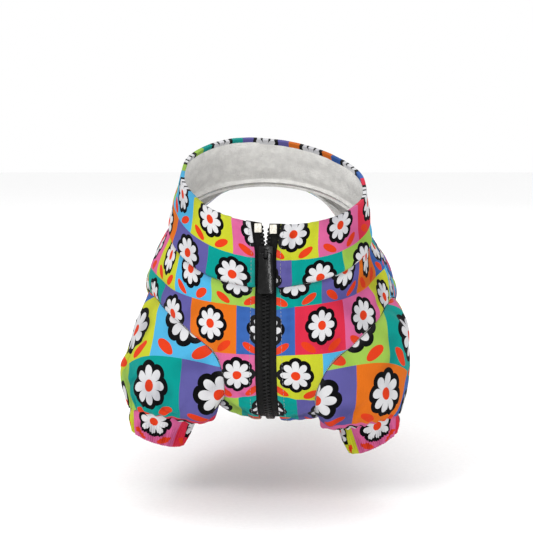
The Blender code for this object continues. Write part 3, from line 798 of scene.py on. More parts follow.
class Shader:
    """A material's nodes, with short ways to add them."""

    def __init__(self, name, roughness):
        self.material = bpy.data.materials.new(name)
        self.material.use_nodes = True
        self.tree = self.material.node_tree
        self.surface = self.tree.nodes["Principled BSDF"]
        self.surface.inputs["Roughness"].default_value = roughness

    def node(self, kind, **settings):
        made = self.tree.nodes.new(kind)
        for key, value in settings.items():
            setattr(made, key, value)
        return made

    def feed(self, socket, value):
        if isinstance(value, Value):
            value = value.socket
        if isinstance(value, bpy.types.NodeSocket):
            self.tree.links.new(value, socket)
        else:
            socket.default_value = value

    def mix(self, factor, a, b, blend_type="MIX"):
        made = self.node("ShaderNodeMix", data_type="RGBA", blend_type=blend_type)
        self.feed(made.inputs["Factor"], factor)
        self.feed(made.inputs[6], a)
        self.feed(made.inputs[7], b)
        return made.outputs[2]

    def noise(self, scale, detail=2.0, roughness=0.5):
        made = self.node("ShaderNodeTexNoise")
        self.feed(made.inputs["Vector"], self.node("ShaderNodeTexCoord").outputs["Object"])
        made.inputs["Scale"].default_value = scale
        made.inputs["Detail"].default_value = detail
        made.inputs["Roughness"].default_value = roughness
        return Value(self, made.outputs["Fac"])

    def attribute(self, name):
        return Value(self, self.node("ShaderNodeAttribute", attribute_name=name).outputs["Fac"])

    def ramp(self, value, stops, interpolation="LINEAR"):
        """The colours at their places from 0 to 1, each of them red, green and blue."""
        made = self.node("ShaderNodeValToRGB")
        made.color_ramp.interpolation = interpolation
        points = made.color_ramp.elements
        while len(points) < len(stops):
            points.new(1.0)
        for point, (position, colour) in zip(points, stops):
            point.position = position
            point.color = (*colour[:3], 1)
        self.feed(made.inputs["Fac"], value)
        return made.outputs["Color"]

    def uv(self, shift=(0.0, 0.0), scale=1.0):
        source = self.node("ShaderNodeUVMap", uv_map="cloth")
        mapping = self.node("ShaderNodeMapping")
        mapping.inputs["Location"].default_value = (*shift, 0.0)
        mapping.inputs["Scale"].default_value = (scale, scale, 1.0)
        self.feed(mapping.inputs["Vector"], source.outputs["UV"])
        return mapping.outputs["Vector"]

    def split(self, place):
        made = self.node("ShaderNodeSeparateXYZ")
        self.feed(made.inputs[0], place)
        return Value(self, made.outputs["X"]), Value(self, made.outputs["Y"])

    def colour(self, value):
        self.feed(self.surface.inputs["Base Color"], value)

    def bumps(self, *layers):
        """Bumps on the surface, the lowest first, each with its height, strength and distance."""
        below = None
        for height, strength, distance in layers:
            made = self.node("ShaderNodeBump")
            made.inputs["Strength"].default_value = strength
            made.inputs["Distance"].default_value = distance
            self.feed(made.inputs["Height"], height)
            if below is not None:
                self.feed(made.inputs["Normal"], below)
            below = made.outputs["Normal"]
        self.feed(self.surface.inputs["Normal"], below)

    def set(self, **values):
        for name, value in values.items():
            self.surface.inputs[name.replace("_", " ")].default_value = value


def disc(x, y, centre, radii, turn_deg):
    """1 inside an ellipse and 0 outside."""
    turn = math.radians(turn_deg)
    dx = x - centre[0]
    dy = y - centre[1]
    along = (dx * math.cos(turn) + dy * math.sin(turn)) / radii[0]
    across = (dy * math.cos(turn) - dx * math.sin(turn)) / radii[1]
    return along * along + across * across < 1


def petals(radius, turn, low, high, sharpness):
    """1 inside a round of petals and 0 outside."""
    lobe = (turn * (PETALS / 2)).by("COSINE").by("ABSOLUTE").by("POWER", sharpness)
    return radius < lobe * (high - low) + low


def print_colour(shader, place):
    """Bright blocks in a half-drop layout, each with a white flower on a black scalloped round."""
    wide, high = shader.split(place)
    high = high / BLOCK_HIGH
    row = high.by("FLOOR")
    wide = wide / BLOCK_WIDE + row % 2 * 0.5
    column = wide.by("FLOOR")
    x = (wide - column - 0.5) * BLOCK_WIDE
    y = (high - row - 0.5) * BLOCK_HIGH
    inks = len(PRINT_INKS)
    pick = ((row * 3 + column * 2) % inks + 0.5) / inks
    colour = shader.ramp(pick, [(i / inks, ink(dye)) for i, dye in enumerate(PRINT_INKS)], "CONSTANT")
    rise = y - FLOWER_RISE
    radius = (x * x + rise * rise).by("SQRT")
    turn = rise.by("ARCTAN2", x)
    accent = ink(INK_ACCENT)
    for side in (-1, 1):
        leaf = disc(x, y, (side * LEAF_PLACE[0], LEAF_PLACE[1]), LEAF_SIZE, side * LEAF_TURN_DEG)
        colour = shader.mix(leaf, colour, accent)
    colour = shader.mix(petals(radius, turn, *BLACK_PETALS), colour, ink(INK_BLACK))
    colour = shader.mix(petals(radius, turn, *WHITE_PETALS), colour, ink(INK_WHITE))
    return shader.mix(radius < HEART, colour, accent)


def printed_cloth(name, shift=(0.0, 0.0), enlarged=1.0):
    """Soft brushed knit with the print on it, faded towards grey where the seams rub, partly as painted seam
    shade, and darkened by painted shade in the folds.
    """
    shader = Shader(name, roughness=0.82)
    colour = print_colour(shader, shader.uv(shift, 1 / enlarged))
    cloudy = shader.ramp(shader.noise(38.0, 3.0), [(0.3, (0.55, 0.55, 0.57)), (0.7, (1, 1, 1))])
    colour = shader.mix(0.16, colour, cloudy, "MULTIPLY")
    # Near seams and edges the print fades a little towards grey: print rubbed thin, partly painted seam shade
    colour = shader.mix(shader.attribute("wear") * 0.03, colour, (0.40, 0.40, 0.41, 1))
    # Painted shade: the print is darkened where the cloth is pressed in, in folds, creases, puckers and seam
    # grooves
    shade = shader.ramp(shader.attribute("fold"), [(0.0, (1, 1, 1)), (1.0, (0.70, 0.70, 0.73))])
    shader.colour(shader.mix(1.0, colour, shade, "MULTIPLY"))
    ribs = shader.node("ShaderNodeTexWave", wave_type="BANDS", bands_direction="X", wave_profile="SIN")
    shader.feed(ribs.inputs["Vector"], shader.uv())
    ribs.inputs["Scale"].default_value = 180.0
    ribs.inputs["Distortion"].default_value = 1.5
    ribs.inputs["Detail"].default_value = 1.0
    ribs.inputs["Detail Scale"].default_value = 3.0
    pile = shader.noise(2600.0, 2.0, 0.6)
    nap = shader.noise(420.0, 3.0, 0.6)
    shader.bumps((ribs.outputs["Fac"], 0.22, 0.0002), (pile, 0.35, 0.0002), (nap, 0.20, 0.0006))
    shader.set(Sheen_Weight=0.02, Sheen_Roughness=0.45, Specular_IOR_Level=0.06)
    return shader.material


def fleece_lining():
    """Plain brushed fleece on the inside."""
    shader = Shader("fleece_lining", roughness=0.95)
    tufts = shader.noise(700.0, 4.0, 0.65)
    clumps = shader.noise(160.0, 3.0, 0.6)
    shader.colour(shader.ramp(clumps, [(0.3, (0.60, 0.59, 0.57)), (0.7, (0.76, 0.75, 0.72))]))
    shader.bumps((tufts, 0.7, 0.0010), (clumps, 0.4, 0.0016))
    shader.set(Sheen_Weight=0.5, Sheen_Roughness=0.6, Specular_IOR_Level=0.15)
    return shader.material


def zip_tape_cloth():
    """Black herringbone tape."""
    shader = Shader("zip_tape_cloth", roughness=0.62)
    across, along = shader.split(shader.uv())
    slant = along + across.by("PINGPONG", 0.0012)
    rib = slant.by("PINGPONG", 0.00035) / 0.00035
    dust = shader.noise(900.0, 3.0)
    colour = shader.ramp(rib, [(0.1, (0.004, 0.004, 0.004)), (0.9, (0.010, 0.010, 0.010))])
    shader.colour(shader.mix(dust * 0.2, colour, (0.022, 0.022, 0.021, 1)))
    shader.bumps((rib, 0.8, 0.00025), (dust, 0.3, 0.0003))
    shader.set(Specular_IOR_Level=0.12)
    return shader.material


def moulded(name, dark, light, roughness, scale, depth, gloss=0.3):
    """Moulded plastic or lacquer with slight waviness and scuffs."""
    shader = Shader(name, roughness)
    cloud = shader.noise(scale, 4.0)
    shader.colour(shader.ramp(cloud, [(0.35, dark), (0.7, light)]))
    scuff = shader.noise(scale * 6, 2.0)
    shader.feed(shader.surface.inputs["Roughness"], scuff * (roughness * 0.8) + roughness * 0.6)
    shader.bumps((cloud, 0.4, depth))
    shader.set(Specular_IOR_Level=gloss)
    return shader.material


def sewing_thread(name, dark, light):
    """Twisted thread, its strands slanting along its length."""
    shader = Shader(name, roughness=0.6)
    strands = shader.noise(3000.0, 2.0)
    shader.colour(shader.ramp(strands, [(0.3, dark), (0.7, light)]))
    shader.bumps((strands, 0.6, 0.0001))
    shader.set(Sheen_Weight=0.3)
    return shader.material


LINING = fleece_lining()
TAPE = zip_tape_cloth()
TOOTH_BLACK = moulded("tooth_black", (0.003, 0.003, 0.003), (0.008, 0.008, 0.008), 0.26, 500, 0.0002, 0.15)
SLIDER_BLACK = moulded("slider_black", (0.002, 0.002, 0.002), (0.006, 0.006, 0.006), 0.24, 300, 0.0002, 0.16)
PULL_BLACK = moulded("pull_black", (0.002, 0.002, 0.002), (0.005, 0.005, 0.005), 0.17, 260, 0.0005, 0.17)
STOP_CREAM = moulded("stop_cream", (0.50, 0.47, 0.40), (0.80, 0.77, 0.69), 0.42, 700, 0.0003)
THREAD = sewing_thread("thread", (0.10, 0.10, 0.11), (0.30, 0.30, 0.32))


# Body panels

NECK_MIDDLE = Vector((NECK_LEAN, -NECK_REACH / 2, -NECK_DROP / 2))
COLLAR_MIDDLE = Vector((NECK_LEAN, -NECK_REACH / 2, -NECK_DROP / 3))
BODY_MIDDLE = Vector((0, 0, -CHEST_DEPTH / 2))


def pucker(point, distance_down, distance_in):
    """Small puckers that the zip's stitching pulls into the cloth."""
    wave = math.cos(2 * math.pi * distance_down / PUCKER_PITCH + 2 * crumple(point, 0.02, 5.0))
    return PUCKER_DEPTH * wave * hump(distance_in - PUCKER_AT, PUCKER_REACH)


def beside_zip(point, from_zip):
    """Soft folds that run down beside the zip, fading away from it."""
    wave = math.cos(2 * math.pi * from_zip / ZIP_FOLD_PITCH + 2.2 * crumple(point, 0.028, 6.6))
    fade = 1 - eased((from_zip - 0.010) / ZIP_FOLD_REACH)
    return ZIP_FOLD * wave * eased((from_zip - 0.002) / 0.004) * fade


def neck_facing(point, normal, from_neck):
    """The cloth's own facing, but straight out from the neck at the collar's seam."""
    out = (point - NECK_MIDDLE).normalized()
    return out.lerp(normal, eased(from_neck / NECK_SEAM_REACH)).normalized()


def near_armhole(armhole):
    """Finds how far a point is from the armhole's seam, and where round it."""
    tree = KDTree(SLEEVE_SIDES)
    for i, point in enumerate(edge_on_body(armhole, 0.0)[0]):
        tree.insert(point, i)
    tree.balance()

    def find(point):
        _, i, distance = tree.find(point)
        return distance, 2 * math.pi * i / SLEEVE_SIDES

    return find


def drawn_in(point, turn, distance):
    """Soft folds that run out from a sleeve's seam."""
    wave = math.cos(ARMHOLE_FOLDS * turn + 2.5 * crumple(point, 0.03, 2.7))
    return ARMHOLE_FOLD * wave * hump(distance - ARMHOLE_FOLD_AT, ARMHOLE_FOLD_REACH)


def chest_grain(place):
    """How far the print follows the zip there: wholly on the chest, and not at all on the flank and belly."""
    near_zip = 1 - eased((abs(place.x) - GRAIN_REACH) / GRAIN_FADE)
    near_neck = 1 - eased((-place.y - GRAIN_DROP) / GRAIN_FADE)
    return near_zip * near_neck


def front_panel(name, node, armhole, outside):
    side = armhole.side
    rows = []
    for r in range(BODY_ROWS + 1):
        walk = body_walk(r, side)
        end = side_seam(r / BODY_ROWS, walk.girth) - SIDE_SEAM_GAP / 2
        rows.append(walk.spread(steps(ZIP_WIDTH / 2, end, PANEL_COLUMNS)))
    along, down = distances(rows, 0)
    normals = outward_normals(rows, BODY_MIDDLE)
    find = near_armhole(armhole)

    def spot(r, c, point):
        from_zip = along[r][c]
        from_side = along[r][-1] - along[r][c]
        from_neck = down[r][c]
        from_hem = down[-1][c] - down[r][c]
        from_arm, turn = find(point)
        depth = dip(from_side) + dip(from_neck) + dip(from_arm)
        depth += ZIP_EDGE_DIP * hump(from_zip, LINE_SPREAD) + hem_line(from_hem)
        depth += pucker(point, from_neck, from_zip) + drawn_in(point, turn, from_arm)
        depth += ZIP_FOLD_ON_BODY * beside_zip(point, from_zip) * eased(from_neck / ZIP_FOLD_START)
        seam = min(from_side, from_neck, from_arm)
        edge = min(seam, from_zip)
        depth -= dented(point, BODY_DENTS, BODY_CREASE) * eased(edge / BODY_FLAT_EDGE)
        facing = neck_facing(point, normals[r][c], from_neck)
        turned = from_hem < HEM_DEPTH or from_zip < ZIP_TURN or seam < SEAM_TURN
        return Spot(-facing * depth, depth, hump(min(edge, from_hem), WEAR_AND_SEAM_SHADE_REACH), turned)

    flat = [[(side * (ZIP_WIDTH / 2 + u), -v) for u, v in zip(*line)] for line in zip(along, down)]
    piece = sewn_piece(name, node, rows, spot, BODY_MIDDLE, outside, flat=flat, armholes=[armhole])
    chest_top = rows[BODY_ROWS // 8][0]
    chest_foot = rows[BODY_ROWS * 3 // 8][0]
    at = (side * ZIP_WIDTH / 2, -down[BODY_ROWS * 3 // 8][0])
    cut_flat(piece, chest_top, chest_foot, at, grain=chest_grain)
    return rows


def back_panel(name, node, outside):
    rows = []
    for r in range(BODY_ROWS + 1):
        walks = [body_walk(r, side) for side in (-1, 1)]
        starts = [side_seam(r / BODY_ROWS, walk.girth) + SIDE_SEAM_GAP / 2 for walk in walks]
        rows.append(round_the_back(walks, starts, BACK_COLUMNS))
    along, down = distances(rows, 0)
    normals = outward_normals(rows, BODY_MIDDLE)

    def spot(r, c, point):
        from_side = min(along[r][c], along[r][-1] - along[r][c])
        from_neck = down[r][c]
        from_hem = down[-1][c] - down[r][c]
        depth = dip(from_side) + dip(from_neck) + hem_line(from_hem)
        edge = min(from_side, from_neck)
        depth -= dented(point, BODY_DENTS, BODY_CREASE) * eased(edge / BODY_FLAT_EDGE)
        facing = neck_facing(point, normals[r][c], from_neck)
        turned = from_hem < HEM_DEPTH or from_side < SEAM_TURN
        return Spot(-facing * depth, depth, hump(min(edge, from_hem), WEAR_AND_SEAM_SHADE_REACH), turned)

    armholes = (ARMHOLE_RIGHT, ARMHOLE_LEFT)
    piece = sewn_piece(name, node, rows, spot, BODY_MIDDLE, outside, armholes=armholes)
    cut_flat(piece, rows[BODY_ROWS // 4][BACK_COLUMNS], rows[-1][BACK_COLUMNS], (0.0, 0.0))
    return rows


# Sleeves and cuffs

TREE = body_tree()


def edge_on_body(armhole, shrink):
    """Points round the armhole on the body's surface, with the way that the body faces there."""
    loop, facing = armhole_loop(armhole, SLEEVE_SIDES, shrink)
    points = []
    normals = []
    for p in loop:
        place, normal, _, _ = TREE.ray_cast(p + facing * SLEEVE_SPREAD, -facing)
        points.append(place)
        normals.append(normal if normal.dot(facing) > 0 else -normal)
    return points, normals


def seam_first(row):
    """The closed row, starting and ending at its seam."""
    start = round(len(row) * SLEEVE_SEAM_SHARE)
    return row[start:] + row[: start + 1]


def sleeve(name, node, armhole, table, outside):
    edge, edge_normals = edge_on_body(armhole, SEWN_GAP)
    rings = [edge] + [ring_points(ring, armhole.side, SLEEVE_SIDES) for ring in table]
    rows = [seam_first(row) for row in loft(rings, SLEEVE_ROWS)]
    edge_normals = seam_first(edge_normals)
    _, down = distances(rows, 0)
    inside = sum(rows[SLEEVE_ROWS // 2], Vector()) / len(rows[0])
    normals = outward_normals(rows, inside, closed=True)

    def spot(r, c, point):
        from_top = down[r][c]
        from_foot = down[-1][c] - down[r][c]
        from_edge = min(from_top, from_foot)
        turn = 2 * math.pi * c / SLEEVE_SIDES
        facing = edge_normals[c].lerp(normals[r][c], eased(from_top / SLEEVE_SEAM_REACH)).normalized()
        depth = dip(from_top) + drawn_in(point, turn, from_top)
        gathers = math.cos(SLEEVE_GATHERS * turn + 3 * crumple(point, 0.03, 9.0))
        depth += SLEEVE_GATHER * gathers * hump(from_foot - SLEEVE_GATHER_AT, SLEEVE_GATHER_REACH)
        dents = dented(point, SLEEVE_DENTS, SLEEVE_CREASE)
        depth -= dents * eased(from_top / SLEEVE_FLAT_TOP) * eased(from_foot / SLEEVE_FLAT_FOOT)
        return Spot(-facing * depth, depth, hump(from_edge, WEAR_AND_SEAM_SHADE_REACH), from_edge < SLEEVE_TURN)

    piece = sewn_piece(name, node, rows, spot, inside, outside, closed=True)
    front = round(SLEEVE_SIDES * SLEEVE_FRONT_SHARE)
    lean = armhole.side * SLEEVE_PRINT_LEAN_DEG
    cut_flat(piece, rows[SLEEVE_ROWS // 2][front], rows[-1][front], (0.0, 0.0), lean)


def cuff(name, node, side, seam_ring, table, outside):
    """Gathered in fine pleats at its hem, its top edge tucked up inside the sleeve."""
    top = ring_points(seam_ring, side, CUFF_SIDES, CLOTH + SEWN_GAP)
    rings = [[p + Vector((0, 0, CUFF_TUCK)) for p in top]]
    rings += [ring_points(ring, side, CUFF_SIDES) for ring in table]
    rows = [seam_first(row) for row in loft(rings, CUFF_ROWS)]
    along, down = distances(rows, round(CUFF_SIDES * SLEEVE_FRONT_SHARE))
    middle = along[CUFF_ROWS // 2]
    flat = [[(side * u, foot - v) for u, v, foot in zip(middle, line, down[-1])] for line in down]
    inside = sum(rows[CUFF_ROWS // 2], Vector()) / len(rows[0])
    normals = outward_normals(rows, inside, closed=True)

    def spot(r, c, point):
        share = r / CUFF_ROWS
        turn = 2 * math.pi * c / CUFF_SIDES
        wander = 1.6 * crumple(Vector((math.cos(turn), math.sin(turn), share * 0.6)), 0.5, 4.0)
        fine = math.cos(CUFF_RIBS * turn + wander)
        broad = math.cos(CUFF_PLEATS * turn + 2 * wander)
        depth = CUFF_RIB * fine * eased((share - 0.25) / 0.5)
        depth += CUFF_PLEAT * broad * eased((share - 0.1) / 0.6)
        depth -= CUFF_SWELL * crumple(point, 0.02, 1.3) * (1 - share)
        drop = (CUFF_RIB_DROP * fine + CUFF_PLEAT_DROP * broad) * eased((share - 0.6) / 0.4)
        from_foot = down[-1][c] - down[r][c]
        move = -normals[r][c] * depth - Vector((0, 0, drop))
        return Spot(move, depth, hump(from_foot, WEAR_AND_SEAM_SHADE_REACH), from_foot < CUFF_TURN)

    piece = sewn_piece(name, node, rows, spot, inside, outside, flat=flat, closed=True)

# Collar

def flare(rise):
    """0 below the slider, and 1 at the rim, where the zip is open."""
    slider_rise = 1 - SLIDER_DROP / COLLAR_FRONT
    return max(rise - slider_rise, 0.0) / (1 - slider_rise)


def collar(name, node, outside):
    rows = []
    for r in range(COLLAR_ROWS, -1, -1):
        start = ZIP_WIDTH / 2 + ZIP_FLARE * flare(r / COLLAR_ROWS)
        walks = [collar_walk(r, side) for side in (-1, 1)]
        rows.append(round_the_back(walks, [start, start], COLLAR_COLUMNS))
    rows[-1] = [p + Vector((0, 0, SEWN_GAP)) for p in rows[-1]]
    along, down = distances(rows, 0)
    middle = distances(rows, COLLAR_COLUMNS)[0][COLLAR_ROWS // 2]
    flat = [[(u, -v) for u, v in zip(middle, line)] for line in down]
    normals = outward_normals(rows, COLLAR_MIDDLE)

    def spot(r, c, point):
        from_zip = min(along[r][c], along[r][-1] - along[r][c])
        from_rim = down[r][c]
        from_base = down[-1][c] - down[r][c]
        depth = dip(from_base) + ZIP_EDGE_DIP * hump(from_zip, LINE_SPREAD)
        depth += RIM_LINE_DIP * hump(from_rim, RIM_LINE_SPREAD)
        folds = beside_zip(point, from_zip) * eased(from_base / ZIP_FOLD_START)
        depth += pucker(point, from_rim, from_zip) + folds
        edge = min(from_base, from_zip)
        depth -= dented(point, COLLAR_DENTS) * eased(edge / COLLAR_FLAT_EDGE)
        facing = neck_facing(point, normals[r][c], from_base)
        turned = from_rim < RIM_TURN or from_zip < ZIP_TURN
        return Spot(-facing * depth, depth, hump(min(edge, from_rim), WEAR_AND_SEAM_SHADE_REACH), turned)

    piece = sewn_piece(name, node, rows, spot, COLLAR_MIDDLE, outside, COLLAR_WALL, flat)
    return rows


# Zip

ZipRow = namedtuple("ZipRow", "left right opened wall")


def zip_rows():
    """The surface that the zip lies in, row by row, from the rim down to the rear hem."""
    rows = []
    for r in range(COLLAR_ROWS, 0, -1):
        opened = TEETH_FLARE * flare(r / COLLAR_ROWS)
        rows.append(ZipRow(collar_walk(r, 1), collar_walk(r, -1), opened, COLLAR_WALL))
    for r in range(BODY_ROWS + 1):
        rows.append(ZipRow(body_walk(r, 1), body_walk(r, -1), 0.0, CLOTH))
    return rows


def under_cloth(side, reaches):
    """Rows of points on the inside of the cloth, at these distances from the zip's middle."""
    table = zip_rows()
    rows = []
    for row in table:
        walk = row.left if side > 0 else row.right
        rows.append(walk.spread([reach + row.opened for reach in reaches]))
    normals = outward_normals(rows, BODY_MIDDLE)
    sunk = []
    for points, line, row in zip(rows, normals, table):
        sunk.append([p - n * (row.wall + TAPE_SEAT) for p, n in zip(points, line)])
    return sunk, normals


def zip_tape(name, node, side):
    rows, normals = under_cloth(side, steps(GAP / 2, TAPE_WIDTH, 12))
    along, down = distances(rows, 0)
    flat = [[(u, -v) for u, v in zip(*lines)] for lines in zip(along, down)]

    def spot(r, c, point):
        across = c / (len(rows[0]) - 1)
        gathered = hump(down[r][c], TAPE_BUNCH_REACH) * TAPE_BUNCH + TAPE_RIPPLE
        ripple = math.cos(2 * math.pi * down[r][c] / TAPE_RIPPLE_PITCH + 3 * across)
        return Spot(normals[r][c] * gathered * ripple * across, 0.0, 0.0, False)

    spots = shaped(rows, spot)
    bm = laid(rows, spots, flat=flat)
    face_out(bm, BODY_MIDDLE)
    piece = add_piece(name, bm, (TAPE,))
    skin = piece.modifiers.new("Thickness", "SOLIDIFY")
    skin.thickness = TAPE_WALL
    skin.offset = -1
    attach(piece, "jacket")
    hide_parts(node)


def stamped(pattern, line, pitch, start, placed):
    """Copies of a pattern at every pitch along a line of points, each where placed says."""
    stamp = bpy.data.meshes.new("stamp")
    pattern.to_mesh(stamp)
    pattern.free()
    lengths = [0.0]
    for a, b in zip(line, line[1:]):
        lengths.append(lengths[-1] + (b - a).length)
    bm = bmesh.new()
    distance = start
    i = 0
    while distance < lengths[-1] - pitch:
        while lengths[i + 1] < distance:
            i += 1
        share = (distance - lengths[i]) / (lengths[i + 1] - lengths[i])
        before = len(bm.verts)
        bm.from_mesh(stamp)
        bm.verts.ensure_lookup_table()
        bmesh.ops.transform(bm, matrix=placed(i, share), verts=bm.verts[before:])
        distance += pitch
    bpy.data.meshes.remove(stamp)
    bmesh.ops.recalc_face_normals(bm, faces=bm.faces)
    return bm


def tooth():
    """One moulded tooth, its head towards +X and its foot on the tape."""
    bm = bmesh.new()
    bmesh.ops.create_cube(bm, size=1)
    bmesh.ops.scale(bm, vec=(TOOTH_REACH, TOOTH_LONG, TOOTH_HIGH), verts=bm.verts)
    head = [v for v in bm.verts if v.co.x > 0]
    bmesh.ops.scale(bm, vec=(1, 1.2, 0.9), verts=head)
    bmesh.ops.bevel(
        bm, geom=bm.edges, offset=0.0003, segments=1, profile=0.5, affect="EDGES", material=-1
    )
    return bm


def zip_teeth(name, node, side):
    """A row of teeth on the tape's edge, half a pitch apart from the other side's."""
    rows, normals = under_cloth(side, [GAP, TOOTH_REACH])
    line = [row[0] for row in rows]

    def placed(i, share):
        foot = line[i].lerp(line[i + 1], share)
        out = normals[i][0].lerp(normals[i + 1][0], share).normalized()
        down = (line[i + 1] - line[i]).normalized()
        head = (down.cross(out) * -side).normalized()
        if head.x * side > 0:
            head = -head
        turn = Matrix((head, down, head.cross(down))).transposed().to_4x4()
        middle = foot - head * (TOOTH_REACH / 2 - TOOTH_SEAT) + out * (TOOTH_HIGH / 2 + GAP)
        return Matrix.Translation(middle) @ turn

    start = TOOTH_PITCH * (1.5 if side > 0 else 1.0)
    piece = add_piece(name, stamped(tooth(), line, TOOTH_PITCH, start, placed), (TOOTH_BLACK,), 30)
    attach(piece, "jacket")
    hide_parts(node)


def softened(name, node, body, width, segments, material):
    """The CAD piece with its edges rounded."""
    bm = bmesh.new()
    bm.from_mesh(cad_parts[node].data)
    bmesh.ops.remove_doubles(bm, verts=bm.verts, dist=0.00001)
    bmesh.ops.dissolve_limit(bm, angle_limit=math.radians(2), verts=bm.verts, edges=bm.edges)
    edges = [e for e in bm.edges if len(e.link_faces) == 2 and e.calc_face_angle() > math.radians(25)]
    bmesh.ops.bevel(
        bm, geom=edges, offset=width, segments=segments, profile=0.5, affect="EDGES", material=-1,
        clamp_overlap=True,
    )
    piece = add_piece(name, bm, (material,), 35)
    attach(piece, body)
    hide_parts(node)
    return piece


def crown(piece, cuts, height, lean):
    """Gives the front of a flat piece a slight crown across its width, its top line leaning a little."""
    bm = bmesh.new()
    bm.from_mesh(piece.data)
    low = min(vert.co.x for vert in bm.verts)
    high = max(vert.co.x for vert in bm.verts)
    for x in steps(low, high, cuts)[1:-1]:
        bmesh.ops.bisect_plane(
            bm, geom=bm.verts[:] + bm.edges[:] + bm.faces[:], plane_co=(x, 0, 0), plane_no=(1, 0, 0)
        )
    bm.normal_update()
    front = min(bm.faces, key=lambda face: face.normal.y * face.calc_area()).normal.copy()
    middle = (low + high) / 2
    half = (high - low) / 2
    top = max(vert.co.z for vert in bm.verts)
    foot = min(vert.co.z for vert in bm.verts)
    for vert in bm.verts:
        if vert.normal.dot(front) > 0.5:
            down = (top - vert.co.z) / (top - foot)
            across = (vert.co.x - middle) / half - lean * (down - 0.4)
            vert.co += front * height * (1 - across ** 2)
    bm.to_mesh(piece.data)
    bm.free()


# Stitching

def stitches(name, line):
    """A row of short stitches along a line of points with their outward directions."""
    one = bmesh.new()
    bmesh.ops.create_uvsphere(one, u_segments=6, v_segments=4, radius=0.5)
    size = Matrix.Diagonal((STITCH_THICK, STITCH_THICK * 0.8, STITCH_LONG, 1))

    def placed(i, share):
        (a, out_a), (b, out_b) = line[i], line[i + 1]
        along = (b - a).normalized()
        out = out_a.lerp(out_b, share).normalized()
        side = along.cross(out).normalized()
        turn = Matrix((side, out, along)).transposed().to_4x4()
        return Matrix.Translation(a.lerp(b, share)) @ turn @ size

    points = [point for point, _ in line]
    piece = add_piece(name, stamped(one, points, STITCH_PITCH, STITCH_PITCH, placed), (THREAD,))
    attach(piece, "jacket")


def line_down(rows, column_at, inside):
    """The stitch line down the rows, at a distance from the first column."""
    normals = outward_normals(rows, inside)
    line = []
    for row, facing in zip(rows, normals):
        reach = 0.0
        c = 0
        while reach < column_at:
            reach += (row[c + 1] - row[c]).length
            c += 1
        line.append((row[c] + facing[c] * STITCH_THICK * 0.1, facing[c]))
    return line


def line_across(rows, inside, up):
    """The stitch line along the foot of the rows, this far up from it."""
    normals = outward_normals(rows, inside)
    line = []
    for c in range(len(rows[0])):
        reach = 0.0
        r = len(rows) - 1
        while reach < up:
            reach += (rows[r - 1][c] - rows[r][c]).length
            r -= 1
        share = (reach - up) / (rows[r + 1][c] - rows[r][c]).length
        facing = normals[r][c]
        line.append((rows[r][c].lerp(rows[r + 1][c], share) + facing * STITCH_THICK * 0.1, facing))
    return line


# Shifts of the print are counted in half blocks
CUFF_PRINT_SHIFT = 11
COLLAR_PRINT_SHIFT = 3
Side = namedtuple("Side", "word armhole sleeve_rings cuff_rings sleeve_print_shift")
SIDES = (
    Side("right", ARMHOLE_RIGHT, SLEEVE_RIGHT, CUFF_RIGHT, 1),
    Side("left", ARMHOLE_LEFT, SLEEVE_LEFT, CUFF_LEFT, 5),
)


def sew():
    """Every cloth piece, and the stitching beside the zip and along the hem."""
    half = BLOCK_WIDE / 2
    sewn = {}
    for side in SIDES:
        name = f"front_{side.word}"
        outside = printed_cloth(f"print_{name}", (0.0, FRONT_PRINT_RISE))
        sewn[name] = front_panel(name, f"{side.word}_front_panel", side.armhole, outside)
    sewn["back"] = back_panel("back", "back_panel", printed_cloth("print_back", (0.0, BACK_PRINT_RISE)))
    for word, rows in sewn.items():
        for number, up in enumerate(HEM_STITCHES):
            stitches(f"hem_stitches_{word}_{number + 1}", line_across(rows, BODY_MIDDLE, up))
    for side in SIDES:
        name = f"sleeve_{side.word}"
        outside = printed_cloth(f"print_{name}", (half * side.sleeve_print_shift, 0.0), SLEEVE_PRINT)
        sleeve(name, f"{side.word}_sleeve", side.armhole, side.sleeve_rings, outside)
    for side in SIDES:
        name = f"cuff_{side.word}"
        outside = printed_cloth(f"print_{name}", (half * CUFF_PRINT_SHIFT, 0.0))
        seam_ring = side.sleeve_rings[-1]
        cuff(name, f"{side.word}_cuff", side.armhole.side, seam_ring, side.cuff_rings, outside)
    outside = printed_cloth("print_collar", (half * COLLAR_PRINT_SHIFT, COLLAR_PRINT_RISE), COLLAR_PRINT)
    collar_rows = collar("collar_cloth", "collar", outside)
    for word in ("front_right", "front_left"):
        stitches(f"stitches_{word}", line_down(sewn[word], STITCH_INSET, BODY_MIDDLE))
    stitches("stitches_collar_right", line_down(collar_rows, STITCH_INSET, COLLAR_MIDDLE))
    flipped = [row[::-1] for row in collar_rows]
    stitches("stitches_collar_left", line_down(flipped, STITCH_INSET, COLLAR_MIDDLE))


def fit_zip():
    for side, word in ((-1, "right"), (1, "left")):
        zip_tape(f"tape_{word}", f"zip_tape_{word}", side)
        zip_teeth(f"teeth_{word}", f"zip_teeth_{word}", side)
        softened(f"top_stop_{word}", f"zip_top_stop_{word}", "jacket", 0.0006, 3, STOP_CREAM)
    softened("slider", "zip_slider", "jacket", 0.00018, 2, SLIDER_BLACK)
    crown(softened("pull", "zip_pull", "pull", 0.0006, 4, PULL_BLACK), 12, 0.0006, 0.4)
    softened("box", "zip_box", "jacket", 0.0007, 3, TOOTH_BLACK)


# Stage

FLOOR_Z = -0.237
VIEW_TARGET = Vector((0.001155, -0.05, -0.059675))
VIEW_DISTANCE = 1.25
VIEW_RISE_DEG = 8
PIXEL = 0.00077
PHOTO_SIZE = 533
SENSOR = 36


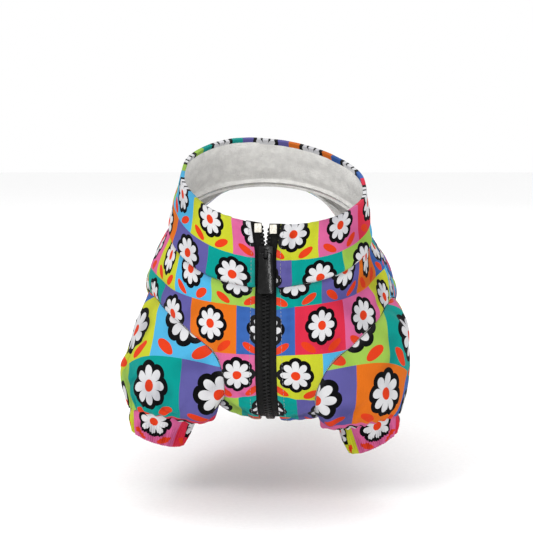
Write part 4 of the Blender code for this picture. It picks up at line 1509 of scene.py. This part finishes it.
def floor():
    bm = bmesh.new()
    bmesh.ops.create_grid(bm, x_segments=1, y_segments=1, size=3)
    bmesh.ops.translate(bm, vec=(0, 0, FLOOR_Z), verts=bm.verts)
    shader = Shader("studio_paper", roughness=0.9)
    grain = shader.noise(300.0, 3.0)
    shader.colour(shader.ramp(grain, [(0.3, (0.90, 0.90, 0.90)), (0.7, (0.94, 0.94, 0.94))]))
    shader.bumps((grain, 0.1, 0.0005))
    add_piece("floor", bm, (shader.material,))


def area_light(name, place, target, size, watts):
    data = bpy.data.lights.new(name, "AREA")
    data.shape = "DISK"
    data.size = size
    data.energy = watts
    lamp = bpy.data.objects.new(name, data)
    bpy.context.scene.collection.objects.link(lamp)
    lamp.location = place
    lamp.rotation_euler = (Vector(target) - Vector(place)).to_track_quat("-Z", "Y").to_euler()
    return lamp


def studio():
    middle = (0, 0, -0.09)
    area_light("key", (-1.0, -1.3, 1.2), middle, 0.8, 14)
    strip = area_light("strip", (0.25, -1.38, 0.05), middle, 0.04, 4)
    strip.data.shape = "RECTANGLE"
    strip.data.size_y = 0.5
    area_light("top", (0.0, 0.2, 1.6), middle, 1.2, 5)
    area_light("behind", (0.4, 1.5, 0.9), middle, 1.2, 4)
    world = bpy.data.worlds.new("studio")
    world.use_nodes = True
    sky = world.node_tree.nodes["Background"]
    sky.inputs["Color"].default_value = (1, 1, 1, 1)
    sky.inputs["Strength"].default_value = 1.0
    bpy.context.scene.world = world
    bpy.context.scene.view_settings.view_transform = "Standard"


def camera():
    rise = math.radians(VIEW_RISE_DEG)
    back = Vector((0, -math.cos(rise), math.sin(rise)))
    data = bpy.data.cameras.new("photo_view")
    data.sensor_width = SENSOR
    data.lens = SENSOR * VIEW_DISTANCE / (PHOTO_SIZE * PIXEL)
    view = bpy.data.objects.new("photo_view", data)
    bpy.context.scene.collection.objects.link(view)
    view.location = VIEW_TARGET + back * VIEW_DISTANCE
    view.rotation_euler = (-back).to_track_quat("-Z", "Y").to_euler()
    bpy.context.scene.camera = view


sew()
fit_zip()
floor()
studio()
camera()
